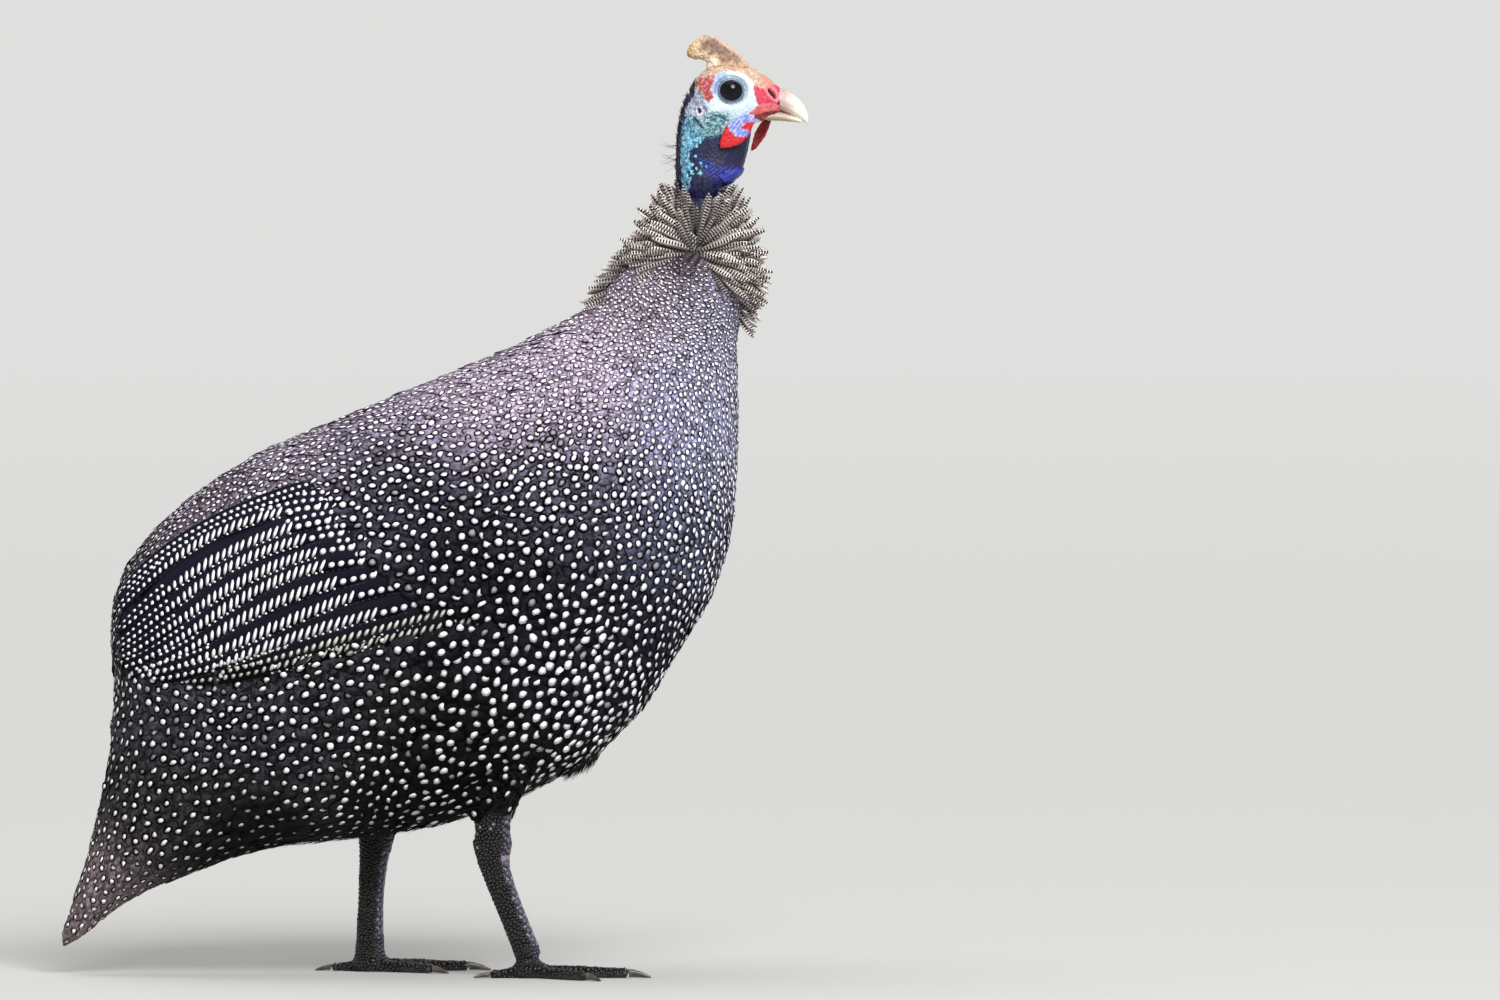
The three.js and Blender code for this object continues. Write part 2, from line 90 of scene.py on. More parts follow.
# Plumage map. Each place gives its middle in the side view (x, z in mm), how far its look reaches,
# the feather's width and length, how far feather tips stand off the skin, the heading of the
# feathers in degrees from +X, the spacing, width and length of the spots, the width of the dark
# ring round each spot (mm), the amount of pale net between the spots, and the colours of net,
# ground and spot.
PLACES = [
    # place, x, z, reach, width, length, lift, heading, spacing, spot w, spot l, ring, net, net, ground, spot
    ("parting", 121, 350, 9, 3.6, 11, 1.6, 235, 2.2, 1.8, 0.8, 0.30, 0.15, 0x6A5A5E, 0x120C0B, 0x9A8C8C),
    ("neck foot", 108, 332, 18, 5, 13, 2.2, 238, 2.7, 2.3, 1.1, 0.34, 0.88, 0xB5A4B8, 0x241B2A, 0xFBF2FB),
    ("throat foot", 140, 322, 18, 5, 13, 2.2, 262, 2.7, 2.3, 1.1, 0.36, 0.86, 0xAEA8C6, 0x1E1A30, 0xF6F4FF),
    ("upper breast", 135, 275, 24, 6.5, 15, 2.4, 258, 3.4, 1.9, 2.7, 0.4, 0.86, 0xB4B2D8, 0x18162F, 0xF8F7FF),
    ("mid breast", 128, 216, 24, 8, 17, 2.6, 248, 4.8, 2.6, 3.3, 0.75, 0.36, 0x9C9CC4, 0x0A0A1E, 0xF2F2FE),
    ("low breast", 108, 165, 26, 10, 18, 2.8, 230, 5.4, 2.9, 3.5, 0.9, 0.10, 0x666684, 0x05050C, 0xE8EAF2),
    ("shoulder", 62, 290, 26, 8, 16, 2.6, 222, 4.3, 1.9, 2.7, 0.44, 0.95, 0xCBB7D0, 0x281D32, 0xFFF6FF),
    ("mantle", 20, 284, 20, 9, 18, 2.8, 203, 4.8, 2.1, 3.2, 0.52, 0.92, 0xC6B2CA, 0x20172A, 0xFFF8FF),
    ("mid back", -20, 280, 15, 9.5, 18, 2.8, 204, 4.8, 2, 3.1, 0.54, 0.86, 0xBEACC4, 0x1C1424, 0xF8F0FC),
    ("wing shoulder", 62, 243, 24, 10, 19, 3, 225, 5.4, 2.8, 3.3, 0.95, 0.24, 0xA79FBE, 0x08060F, 0xF4F2FC),
    ("back", -55, 264, 18, 10, 19, 2.8, 205, 4.7, 1.9, 3, 0.55, 0.80, 0xB4A3B8, 0x181120, 0xF6EEFA),
    ("upper wing", -20, 238, 26, 11, 20, 3.2, 200, 5.8, 2.7, 3.5, 1, 0.14, 0xA49ABA, 0x090710, 0xF4F2FA),
    ("lower wing", 35, 205, 30, 12, 22, 3.2, 208, 6.9, 3.1, 3.8, 1.1, 0.06, 0x76728A, 0x040407, 0xF0F0F6),
    ("rump", -125, 240, 20, 8, 17, 2.6, 222, 3.8, 1.8, 2.4, 0.55, 0.55, 0x9E8CA0, 0x15101B, 0xF0E8F2),
    ("upper tail", -156, 188, 20, 9, 18, 2.6, 252, 4.2, 1.7, 2.3, 0.80, 0.36, 0x7A7078, 0x0B090E, 0xE8E5EA),
    ("flank", 60, 150, 30, 14, 24, 3.2, 212, 6.6, 3.9, 4.6, 0, 0.05, 0x6A6A74, 0x040406, 0xEEF0F6),
    ("belly", 10, 105, 26, 14, 25, 3.2, 200, 8.2, 3.1, 3.9, 0, 0.03, 0x50504E, 0x020202, 0xCDCFCB),
    ("rear flank", -60, 125, 32, 13, 23, 3, 205, 6.4, 2.8, 3.7, 1.05, 0.18, 0x787680, 0x050508, 0xE8E9EE),
    ("under wing", -120, 135, 24, 12, 22, 3, 218, 5.9, 2.5, 3.3, 1.05, 0.26, 0x827F8C, 0x06060A, 0xE8E8F0),
    ("tail base", -130, 90, 24, 11, 24, 2.6, 232, 6.4, 2.2, 3.1, 1.15, 0.24, 0x726C70, 0x070608, 0xDCDADE),
    ("vent", -85, 70, 20, 12, 24, 2.8, 205, 10, 1.9, 2.6, 0, 0.03, 0x4A4644, 0x020202, 0x8C8C84),
    ("tail end", -166, 48, 20, 8, 24, 1.6, 246, 5.6, 1.8, 2.6, 0.70, 0.85, 0x948488, 0x1A1416, 0xF0EAEC),
    ("thigh", 32, 90, 13, 7, 10, 0.9, 262, 6, 2.2, 3.2, 0, 0.04, 0x4C4B4A, 0x050505, 0xD4D6D0),
    ("rear thigh", -28, 86, 12, 7, 10, 0.9, 265, 6, 2, 3, 0, 0.04, 0x4C4B4A, 0x050505, 0xD0D2CC),
]
place_xz = np.array([(row[1], row[2]) for row in PLACES], float)
place_reach = np.array([row[3] for row in PLACES], float)
headings = np.radians([row[7] for row in PLACES])
place_values = np.array([
    [*row[4:7], math.cos(heading), math.sin(heading), *row[8:13]]
    + [channel for colour in row[13:] for channel in linear(colour)]
    for row, heading in zip(PLACES, headings)
])
WIDTH, LENGTH, LIFT, HEAD_X, HEAD_Z, SPACING, SPOT_W, SPOT_L, RING, NET = range(10)
NET_COLOUR, GROUND_COLOUR, SPOT_COLOUR = slice(10, 13), slice(13, 16), slice(16, 19)


def side_mm(points):
    """x and z in mm of points in metres."""
    return points[:, 0] / MM, points[:, 2] / MM


def plumage_at(points):
    """The plumage map's values at points in metres, blended smoothly between the nearest places."""
    side_view = np.asarray(points, float)[:, [0, 2]] / MM
    distance = np.linalg.norm(side_view[:, None] - place_xz[None], axis=2) / place_reach
    weight = np.exp(-0.9 * distance**1.7) + 1e-9 / (distance + 0.1) ** 4
    weight /= weight.sum(1, keepdims=True)
    return weight @ place_values


# Materials
def material(name, base_hex=0x808080, roughness=0.6, **sockets):
    """A material and its Principled shader, with values set on the shader's own sockets."""
    made = bpy.data.materials.new(name)
    made.use_nodes = True
    shader = made.node_tree.nodes["Principled BSDF"]
    return made, feed(made, shader, Base_Color=rgba(base_hex), Roughness=roughness, **sockets)


def feed(made, target, **sources):
    """Sets a node's inputs to values or links them to sources. A node given as a source stands for
    its first output, and i6 for the input number 6."""
    for key, source in sources.items():
        socket = target.inputs[int(key[1:]) if key[1:].isdigit() else key.replace("_", " ")]
        if isinstance(source, bpy.types.Node):
            source = source.outputs[0]
        if isinstance(source, bpy.types.NodeSocket):
            made.node_tree.links.new(source, socket)
        else:
            socket.default_value = source
    return target


def node(made, kind, settings=None, **sources):
    """Adds one shader node with its settings and its inputs."""
    added = made.node_tree.nodes.new("ShaderNode" + kind)
    for key, value in (settings or {}).items():
        setattr(added, key, value)
    return feed(made, added, **sources)


MULTIPLIED = {"data_type": "RGBA", "blend_type": "MULTIPLY"}
SMOOTHSTEP = {"interpolation_type": "SMOOTHSTEP"}


def plumage_material(name):
    """Contour feathers: dull black keratin vanes, mixed by their own attributes with the paler barbs
    that show between the spots as a broken net. It gives the eye a soft, dry, faintly silky coat."""
    made, shader = material(name, 0x101014, 0.75, Specular_IOR_Level=0.07)
    where = node(made, "TexCoord").outputs["Object"]
    speck = node(made, "TexNoise", Vector=where, Scale=0.8 / MM, Detail=3.0)
    broken = node(made, "MapRange", Value=speck, From_Min=0.36, From_Max=0.6, To_Min=0.35)
    keys = ("net", "ground", "pale")
    net, ground, pale = (node(made, "Attribute", {"attribute_name": key}) for key in keys)
    amount = node(made, "Math", {"operation": "MULTIPLY"}, i0=broken, i1=net.outputs["Fac"])
    mixed = node(made, "Mix", {"data_type": "RGBA"}, Factor=amount, i6=ground, i7=pale)
    bump = node(made, "Bump", Strength=0.25, Distance=0.2 * MM, Height=speck)
    feed(made, shader, Base_Color=mixed.outputs[2], Normal=bump)
    return made


def spot_material(name):
    """The unpigmented white of a spot: the same keratin with nothing dark in it, matt and slightly
    uneven, so that it reads as part of the vane and not as paint."""
    made, shader = material(name, 0xE4E4EA, 0.7, Specular_IOR_Level=0.3)
    where = node(made, "TexCoord").outputs["Object"]
    tint = node(made, "Attribute", {"attribute_name": "pale"})
    grain = node(made, "TexNoise", Vector=where, Scale=0.5 / MM, Detail=2.0)
    shade = node(made, "MapRange", Value=grain, To_Min=0.86, To_Max=1.05)
    mixed = node(made, "Mix", MULTIPLIED, Factor=1.0, i6=tint, i7=shade)
    feed(made, shader, Base_Color=mixed.outputs[2])
    return made


def painted_material(name, roughness, grain_mm, bump_mm, mottle=0.25, **sockets):
    """Skin or horn coloured by its own attribute, with a fine grain in tone and height. It gives
    the eye pores, small wrinkles or growth grain, which plain colour lacks."""
    made, shader = material(name, 0x808080, roughness, **sockets)
    where = node(made, "TexCoord").outputs["Object"]
    tint = node(made, "Attribute", {"attribute_name": "paint"})
    fine = node(made, "TexNoise", Vector=where, Scale=1 / (grain_mm * MM), Detail=4.0, Roughness=0.6)
    shade = node(
        made, "MapRange", Value=fine, From_Min=0.3, From_Max=0.7, To_Min=1 - mottle, To_Max=1 + 0.4 * mottle
    )
    mixed = node(made, "Mix", MULTIPLIED, Factor=1.0, i6=tint, i7=shade)
    bump = node(made, "Bump", Strength=0.6, Distance=bump_mm * MM, Height=fine)
    feed(made, shader, Base_Color=mixed.outputs[2], Normal=bump)
    return made


def bare_skin_material(name):
    """Bare skin: soft, slightly moist, with papillae a millimetre across where the skin is gritty.
    The gaps between papillae are sunk by the bump and painted darker as painted shade, which gives
    the eye the pebbled look that flat colour lacks."""
    made = painted_material(name, 0.42, 0.6, 0.12, 0.24, Specular_IOR_Level=0.35)
    shader = made.node_tree.nodes["Principled BSDF"]
    under, relief = (shader.inputs[key].links[0].from_socket for key in ("Base Color", "Normal"))
    where = node(made, "TexCoord").outputs["Object"]
    cells = node(made, "TexVoronoi", {"feature": "DISTANCE_TO_EDGE"}, Vector=where, Scale=0.85 / MM)
    gaps = node(made, "MapRange", SMOOTHSTEP, Value=cells, From_Max=0.22, To_Min=1.0, To_Max=0.0)
    grit = node(made, "Attribute", {"attribute_name": "grit"}).outputs["Fac"]
    amount = node(made, "Math", {"operation": "MULTIPLY"}, i0=gaps, i1=grit)
    share = node(made, "Math", {"operation": "MULTIPLY"}, i0=amount, i1=0.55)
    # Painted shade: darker in the sunk gaps between the papillae
    painted_gap_shade = node(made, "Mix", MULTIPLIED, Factor=share, i6=under, i7=rgba(0x3C3A52))
    pebbles = node(
        made, "Bump", {"invert": True}, Strength=0.7, Distance=0.25 * MM, Height=amount, Normal=relief
    )
    feed(made, shader, Base_Color=painted_gap_shade.outputs[2], Normal=pebbles)
    return made


def add_object(name, data, place=(0, 0, 0), toward=None):
    """An object in the scene, at a place; a lamp or camera is turned to look along toward."""
    added = bpy.data.objects.new(name, data)
    added.location = place
    if toward:
        added.rotation_euler = Vector(toward).to_track_quat("-Z", "Y").to_euler()
    bpy.context.scene.collection.objects.link(added)
    return added


# Skin. Copies of the flesh nodes are grown a little so that they touch, fused by a voxel remesh,
# moved in by the depth of the coat, and the three regions are bridged into one surface.
def mesh_of(form, name):
    """A mesh made from a bmesh, which is freed."""
    mesh = bpy.data.meshes.new(name)
    form.to_mesh(mesh)
    form.free()
    return mesh


def copies_of(names, grow=0.0, reshape=None):
    """One bmesh of several nodes, merged, each grown along its normals."""
    joined = bmesh.new()
    for name in names:
        part = bmesh.new()
        part.from_mesh(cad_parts[name].data)
        bmesh.ops.remove_doubles(part, verts=part.verts, dist=0.01 * MM)
        bmesh.ops.recalc_face_normals(part, faces=part.faces)
        part.normal_update()
        moves = [(vert, vert.co + vert.normal * grow) for vert in part.verts]
        for vert, place in moves:
            vert.co = reshape(name, place) if reshape else place
        piece = mesh_of(part, name)
        joined.from_mesh(piece)
        bpy.data.meshes.remove(piece)
    return joined


def remeshed(form, voxel):
    """The form fused and meshed evenly by a voxel remesh, as a new bmesh. The form is freed."""
    mesh = mesh_of(form, "fused")
    holder = add_object("fused", mesh)
    fuse = holder.modifiers.new("fuse", "REMESH")
    fuse.mode = "VOXEL"
    fuse.voxel_size = voxel
    fuse.adaptivity = 0.0
    result = bmesh.new()
    result.from_mesh(holder.evaluated_get(bpy.context.evaluated_depsgraph_get()).to_mesh())
    bpy.data.objects.remove(holder)
    bpy.data.meshes.remove(mesh)
    return result


def smooth(form, times, verts=None):
    for _ in range(times):
        bmesh.ops.smooth_vert(
            form, verts=list(verts or form.verts), factor=0.5,
            use_axis_x=True, use_axis_y=True, use_axis_z=True,
        )


def inset(form, depth):
    """Moves each vertex in along its normal, by a depth that may depend on where it is."""
    form.normal_update()
    deep = depth if callable(depth) else lambda place: depth
    moves = [(vert, vert.co - vert.normal * deep(vert.co)) for vert in form.verts]
    for vert, place in moves:
        vert.co = place


def cut_off(form, z, keep_above):
    """Bisects a form level at height z, throws one side away and leaves the loop open."""
    bmesh.ops.bisect_plane(
        form,
        geom=form.verts[:] + form.edges[:] + form.faces[:],
        plane_co=(0, 0, z),
        plane_no=(0, 0, 1),
        clear_inner=keep_above,
        clear_outer=not keep_above,
    )


BODY_VOXEL_MM = 3.5
LEG_VOXEL_MM = 0.9
HEAD_VOXEL_MM = 0.5
NECK_AXIS_MM = [(131, 385), (128, 360), (121, 335), (116, 318)]
NECK_JOIN_Z = 0.3805
BODY_TOP_Z = 0.3775
THIGH_ENDS_MM = [(28.7, -27.0, 14.0, 72.0), (-28.4, 27.0, 12.0, 77.0)]
SHANK_TOP_Z = 0.0665
ANKLE_EDGE_MM = (52.6, -27.0, 10.5)


def slim_neck(name, place):
    """The neck under the ruff is slimmer than the ruff's outline: it narrows towards its axis."""
    if name != "neck_lower":
        return place
    heights = [z * MM for _, z in NECK_AXIS_MM]
    axis_x = np.interp(-place.z, [-z for z in heights], [x * MM for x, _ in NECK_AXIS_MM])
    slim = ((0.362, 0.56), (0.385, 0.8))
    back = float(shares(place.z, (0.318, 1.0), (0.340, 0.93), (0.350, 0.84), *slim))
    front = float(shares(place.z, (0.318, 0.96), (0.340, 0.70), *slim))
    side = float(shares(place.z, (0.318, 0.98), (0.340, 0.80), *slim))
    shrink = back if place.x < axis_x else front
    return Vector((axis_x + (place.x - axis_x) * shrink, place.y * side, place.z))


def body_depth(place):
    """Depth of the coat over the body: thin at the tail end, the thighs and the neck."""
    near_tail_tip = shares(place.z, (0.015, 1.0), (0.06, 2.0), (0.11, 3.4))
    near_neck = shares(place.z, (0.31, 3.4), (0.34, 1.2))
    off_thigh = min((place.xy - Vector((x, y)) * MM).length / MM - reach for x, y, reach, _ in THIGH_ENDS_MM)
    near_hock = shares(place.z + 0.002 * max(off_thigh, 0.0), (0.068, 0.5), (0.100, 3.4))
    return float(min(near_tail_tip, near_neck, near_hock)) * MM


def body_form():
    names = ["trunk", "wing_left", "wing_right", "tail", "neck_lower", "thigh_left", "thigh_right"]
    form = remeshed(copies_of(names, 0.35 * MM, slim_neck), BODY_VOXEL_MM * MM)
    smooth(form, 3)
    inset(form, body_depth)
    smooth(form, 2)
    cut_off(form, BODY_TOP_Z, keep_above=False)
    for x, y, reach, top in THIGH_ENDS_MM:
        middle = Vector((x, y, 0)) * MM
        ends = [
            face
            for face in form.faces
            for place in [face.calc_center_median()]
            if (place.xy - middle.xy).length < reach * MM and place.z < top * MM
        ]
        bmesh.ops.delete(form, geom=ends, context="FACES")
    return form


def leg_form():
    parts = ("shank", "foot", *("toe_" + toe for toe in TOES))
    names = [f"{part}_{side}" for side in SIDES for part in parts]
    form = remeshed(copies_of(names, 0.25 * MM), LEG_VOXEL_MM * MM)
    smooth(form, 2)
    smooth(form, 14, verts=[vert for vert in form.verts if 0.005 < vert.co.z < 0.019])
    edge = Vector(ANKLE_EDGE_MM) * MM
    smooth(form, 40, verts=[vert for vert in form.verts if (vert.co - edge).length < 0.006])
    inset(form, 0.45 * MM)
    for vert in form.verts:
        vert.co.z = max(vert.co.z, 0.0)
    cut_off(form, SHANK_TOP_Z, keep_above=False)
    return form


def head_form():
    names = ["head", "neck_upper", "wattle_left", "wattle_right"]
    form = remeshed(copies_of(names, 0.22 * MM), HEAD_VOXEL_MM * MM)
    smooth(form, 5)
    inset(form, 0.2 * MM)
    cut_off(form, NECK_JOIN_Z, keep_above=True)
    return form


def open_loops(form):
    """The open boundary loops of a form, each as a list of its edges."""
    left = dict.fromkeys(edge for edge in form.edges if edge.is_boundary)
    loops = []
    while left:
        loop, frontier = [], [left.popitem()[0]]
        while frontier:
            edge = frontier.pop()
            loop.append(edge)
            for vert in edge.verts:
                for other in vert.link_edges:
                    if other in left:
                        del left[other]
                        frontier.append(other)
        loops.append(loop)
    return loops


def loop_middle(loop):
    return sum((vert.co for edge in loop for vert in edge.verts), Vector()) / (2 * len(loop))


def build_skin():
    """One closed skin from beak base to toe tips."""
    whole = bmesh.new()
    for form in (body_form(), head_form(), leg_form()):
        piece = mesh_of(form, "region")
        whole.from_mesh(piece)
        bpy.data.meshes.remove(piece)
    loops = [loop for loop in open_loops(whole) if len(loop) > 8]
    while len(loops) > 1:
        first = loops.pop()
        middle = loop_middle(first)
        partner = min(loops, key=lambda loop: (loop_middle(loop) - middle).length)
        loops.remove(partner)
        bmesh.ops.bridge_loops(whole, edges=first + partner)
    hocks = [
        vert
        for vert in whole.verts
        if 0.058 < vert.co.z < 0.084
        and any((vert.co.xy - Vector((x, y)) * MM).length < 0.018 for x, y, _, _ in THIGH_ENDS_MM)
    ]
    smooth(whole, 12, verts=hocks)
    bmesh.ops.recalc_face_normals(whole, faces=whole.faces)
    return mesh_of(whole, "skin")


def numbers(collection, attribute, width, kind=np.float32):
    """A mesh collection's attribute as a numpy array."""
    values = np.empty(len(collection) * width, kind)
    collection.foreach_get(attribute, values)
    return values.reshape(-1, width)


def paint(mesh, name, colours, domain="POINT"):
    """Writes a colour or a value for each vertex as a named attribute."""
    colours = np.asarray(colours, np.float32)
    if colours.ndim == 1:
        layer = mesh.attributes.new(name, "FLOAT", domain)
        layer.data.foreach_set("value", colours)
    else:
        layer = mesh.attributes.new(name, "FLOAT_COLOR", domain)
        with_alpha = np.concatenate([colours, np.ones((len(colours), 1), np.float32)], axis=1)
        layer.data.foreach_set("color", with_alpha.ravel())


def coat_piece(name, coat, made):
    piece_from(name, coat.mesh(name), made)


def piece_from(name, mesh, made, replaced=(), unwrapped=False):
    """Makes a mesh a piece of the model: its finish and the nodes that it stands for."""
    piece = add_object(name, mesh)
    mesh.materials.append(made)
    mesh.polygons.foreach_set("use_smooth", np.full(len(mesh.polygons), True))
    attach(piece, "root")
    if replaced:
        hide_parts(*replaced)
    if unwrapped:
        unwrap(piece)


def unwrap(piece):
    """Unwraps a piece along the turns of its own shape."""
    piece.data.uv_layers.new(name="OFBake")
    bpy.context.view_layer.objects.active = piece
    piece.select_set(True)
    bpy.ops.object.mode_set(mode="EDIT")
    bpy.ops.mesh.select_all(action="SELECT")
    bpy.ops.uv.smart_project(angle_limit=math.radians(60), island_margin=0.002)
    bpy.ops.object.mode_set(mode="OBJECT")
    piece.select_set(False)


# Surfaces to lay feathers on: nearest point and normal of the skin. Scattered points start at
# random and are pushed apart; a hexagonal pattern of pitch 1 has this area for each point.
HEXAGON_SHARE = 0.866
NEIGHBOURS = 7
PUSH_REACH = 1.45
PUSH_SHARE = 0.22


class Surface:
    """The skin as triangles: points can be scattered on it and dropped onto it."""

    def __init__(self, mesh):
        self.mesh = mesh
        self.points = numbers(mesh.vertices, "co", 3).astype(float)
        mesh.calc_loop_triangles()
        self.triangles = numbers(mesh.loop_triangles, "vertices", 3, np.int32)
        self.tree = BVHTree.FromPolygons(self.points.tolist(), self.triangles.tolist())
        corners = self.points[self.triangles]
        cross = np.cross(corners[:, 1] - corners[:, 0], corners[:, 2] - corners[:, 0])
        self.areas = np.linalg.norm(cross, axis=1) / 2
        self.centres = corners.mean(axis=1)
        self.vertex_normals = numbers(mesh.vertices, "normal", 3).astype(float)

    def drop(self, points):
        """The nearest points of the skin, its smooth normals there, and the triangles' numbers."""
        places, facing, found = [], [], []
        for point in points.reshape(-1, 3):
            place, normal, index, _ = self.tree.find_nearest(point)
            places.append(place)
            facing.append(normal)
            found.append(index)
        found = np.array(found)
        places = np.array(places)
        corners = self.points[self.triangles[found]]
        gaps = 1 / (np.linalg.norm(corners - places[:, None], axis=2) + 0.2 * MM)
        blended = (self.vertex_normals[self.triangles[found]] * gaps[:, :, None]).sum(1)
        blended = unit(blended)
        return places, blended, found

    def scatter(self, where, spacing_of, relax=10):
        """Evenly spread points on the triangles that where() picks, spacing_of(points) apart."""
        chosen = np.flatnonzero(where(self.centres))
        expected = self.areas[chosen] / (HEXAGON_SHARE * spacing_of(self.centres[chosen]) ** 2)
        total = int(round(expected.sum()))
        picked = random.choice(chosen, total, p=expected / expected.sum())
        a, b = random.random((2, total, 1))
        flip = a + b > 1
        a, b = np.where(flip, 1 - a, a), np.where(flip, 1 - b, b)
        corners = self.points[self.triangles[picked]]
        points = corners[:, 0] + a * (corners[:, 1] - corners[:, 0]) + b * (corners[:, 2] - corners[:, 0])
        for _ in range(relax):
            tree = kdtree.KDTree(total)
            for index, point in enumerate(points):
                tree.insert(point, index)
            tree.balance()
            near = np.array([[hit[1] for hit in tree.find_n(point, NEIGHBOURS + 1)][1:] for point in points])
            away = points[:, None] - points[near]
            distance = np.linalg.norm(away, axis=2, keepdims=True) + 1e-9
            reach = PUSH_REACH * spacing_of(points)[:, None, None]
            push = (away / distance * np.clip(reach - distance, 0, None)).sum(1) * PUSH_SHARE
            points, normals, found = self.drop(points + push)
        keep = where(points)
        return points[keep], normals[keep], found[keep]


def tangent(directions, normals, keep_lift=0.0):
    """Directions laid onto the surface, but for a share of their rise off it."""
    rise = (directions * normals).sum(1, keepdims=True)
    laid = directions - normals * rise * (1 - keep_lift)
    size = np.linalg.norm(laid, axis=1, keepdims=True)
    return laid / np.maximum(size, 1e-6)


# Templates made once, as small bmeshes: a vane, a spot and a hair
def rod(segments, tip=0.0, cuts=0):
    """Vertices and triangles of a closed rod or cone that stands on the origin: radius 1 at its foot,
    tip at its end, length 1, with rings at its cuts."""
    form = bmesh.new()
    bmesh.ops.create_cone(form, cap_ends=True, segments=segments, radius1=1, radius2=tip, depth=1)
    if cuts:
        long_edges = [edge for edge in form.edges if abs(edge.verts[0].co.z - edge.verts[1].co.z) > 0.5]
        bmesh.ops.subdivide_edges(form, edges=long_edges, cuts=cuts)
    bmesh.ops.translate(form, verts=form.verts, vec=(0, 0, 0.5))
    bmesh.ops.triangulate(form, faces=form.faces)
    form.verts.ensure_lookup_table()
    points = np.array([vert.co for vert in form.verts])
    faces = np.array([[vert.index for vert in face.verts] for face in form.faces])
    form.free()
    return points, faces


def vane_template(rings):
    """A closed vane, four-cornered in section: edge, shaft ridge above, edge, keel below. Its
    points are (across -1 to 1, above or below -1 to 1, along 0 to 1)."""
    points, faces = rod(4, 1.0, rings - 2)
    return np.round(points, 6), faces


def moved_along(origins, *moves):
    """Points (n, m, 3): each of n origins moved along its own axes, by m amounts for each axis."""
    points = origins[:, None]
    for axis, amount in moves:
        points = points + axis[:, None] * amount[..., None]
    return points


# Each small form has its own patch of the map, this wide, round its place on the skin
PATCH_SIZE = 0.003


class Coat:
    """Collects many small laid-out forms and joins them into one piece."""

    def __init__(self):
        self.points, self.faces, self.roots, self.local, self.attributes = [], [], [], [], {}
        self.count = 0

    def add(self, points, faces, root_uv, local, **attributes):
        """points: (forms, verts, 3); faces: one form's triangles; root_uv: (forms, 2);
        local: (verts, 2), each vertex's place in its form's own small patch of the map."""
        forms, verts = points.shape[:2]
        offsets = self.count + np.arange(forms)[:, None, None] * verts
        self.faces.append((faces[None] + offsets).reshape(-1, 3))
        self.points.append(points.reshape(-1, 3))
        self.roots.append(np.repeat(root_uv, verts, axis=0))
        self.local.append(np.tile(local, (forms, 1)))
        for key, values in attributes.items():
            values = np.asarray(values)
            if values.shape[:2] != (forms, verts):
                values = np.repeat(values[:, None], verts, axis=1)
            self.attributes.setdefault(key, []).append(values.reshape(forms * verts, *values.shape[2:]))
        self.count += forms * verts

    def arrays(self):
        return np.concatenate(self.points), np.concatenate(self.faces)

    def mesh(self, name):
        points, faces = self.arrays()
        made = bpy.data.meshes.new(name)
        made.vertices.add(len(points))
        made.vertices.foreach_set("co", points.astype(np.float32).ravel())
        made.loops.add(len(faces) * 3)
        made.loops.foreach_set("vertex_index", faces.astype(np.int32).ravel())
        made.polygons.add(len(faces))
        made.polygons.foreach_set("loop_start", np.arange(0, len(faces) * 3, 3, dtype=np.int32))
        made.update(calc_edges=True)
        patch = np.concatenate(self.roots) + PATCH_SIZE * (np.concatenate(self.local) - 0.5)
        layer = made.uv_layers.new(name="OFBake")
        layer.data.foreach_set("uv", patch[faces.ravel()].astype(np.float32).ravel())
        for key, values in self.attributes.items():
            paint(made, key, np.concatenate(values))
        made.validate()
        return made


def uv_at(surface, found):
    """The skin's map at the middle of the triangles with these numbers."""
    layer = numbers(surface.mesh.uv_layers["OFBake"].data, "uv", 2)
    loops = numbers(surface.mesh.loop_triangles, "loops", 3, np.int32)
    return layer[loops[found]].mean(axis=1)


VANE_RINGS = np.array([0.0, 0.24, 0.48, 0.72, 0.9, 1.0])
VANE_WIDTHS = np.array([0.3, 0.72, 0.98, 1.0, 0.68, 0.16])
ROOT_SHARE = 0.62


def lay_vanes(coat, surface, tips, normals, found, directions, values):
    """Lays one feather at each point: its exposed end lies round the point, its root before it."""
    shape, faces = vane_template(len(VANE_RINGS))
    along = np.interp(shape[:, 2], np.linspace(0, 1, len(VANE_RINGS)), VANE_RINGS)
    widths = np.interp(along, VANE_RINGS, VANE_WIDTHS)
    forms = len(tips)
    vary = random.normal(1, 0.07, (forms, 4)).clip(0.8, 1.2)
    width = values[:, WIDTH] * MM * vary[:, 0]
    length = values[:, LENGTH] * MM * vary[:, 1]
    lift = values[:, LIFT] * MM * vary[:, 2]
    across_axis = np.cross(normals, directions)
    roots = tips - directions * (ROOT_SHARE * length)[:, None]
    roll = random.normal(0, 0.1, (forms, 1))
    across = shape[None, :, 0] * widths[None] * width[:, None] / 2
    base = moved_along(roots, (directions, along[None] * length[:, None]), (across_axis, across))
    laid, facing, _ = surface.drop(base)
    laid, facing = laid.reshape(base.shape), facing.reshape(base.shape)
    rise = 0.12 + 0.88 * along[None] ** 0.9
    thickness = (0.10 * shape[None, :, 1] - 0.05) * MM * np.sqrt(width / (8 * MM))[:, None]
    height = lift[:, None] * rise + thickness + roll * across
    points = laid + facing * height[..., None]
    local = np.stack([shape[:, 0] * 0.35 + 0.5, along * 0.7 + 0.15], axis=1)
    ground = values[:, GROUND_COLOUR] * vary[:, 3:4] ** 2
    coat.add(
        points, faces, uv_at(surface, found), local,
        net=values[:, NET], ground=ground, pale=values[:, NET_COLOUR] * vary[:, 3:4],
    )


SPOT_CORNERS = 9
RAY_REACH = 14 * MM
LEAST_FACING = 0.45


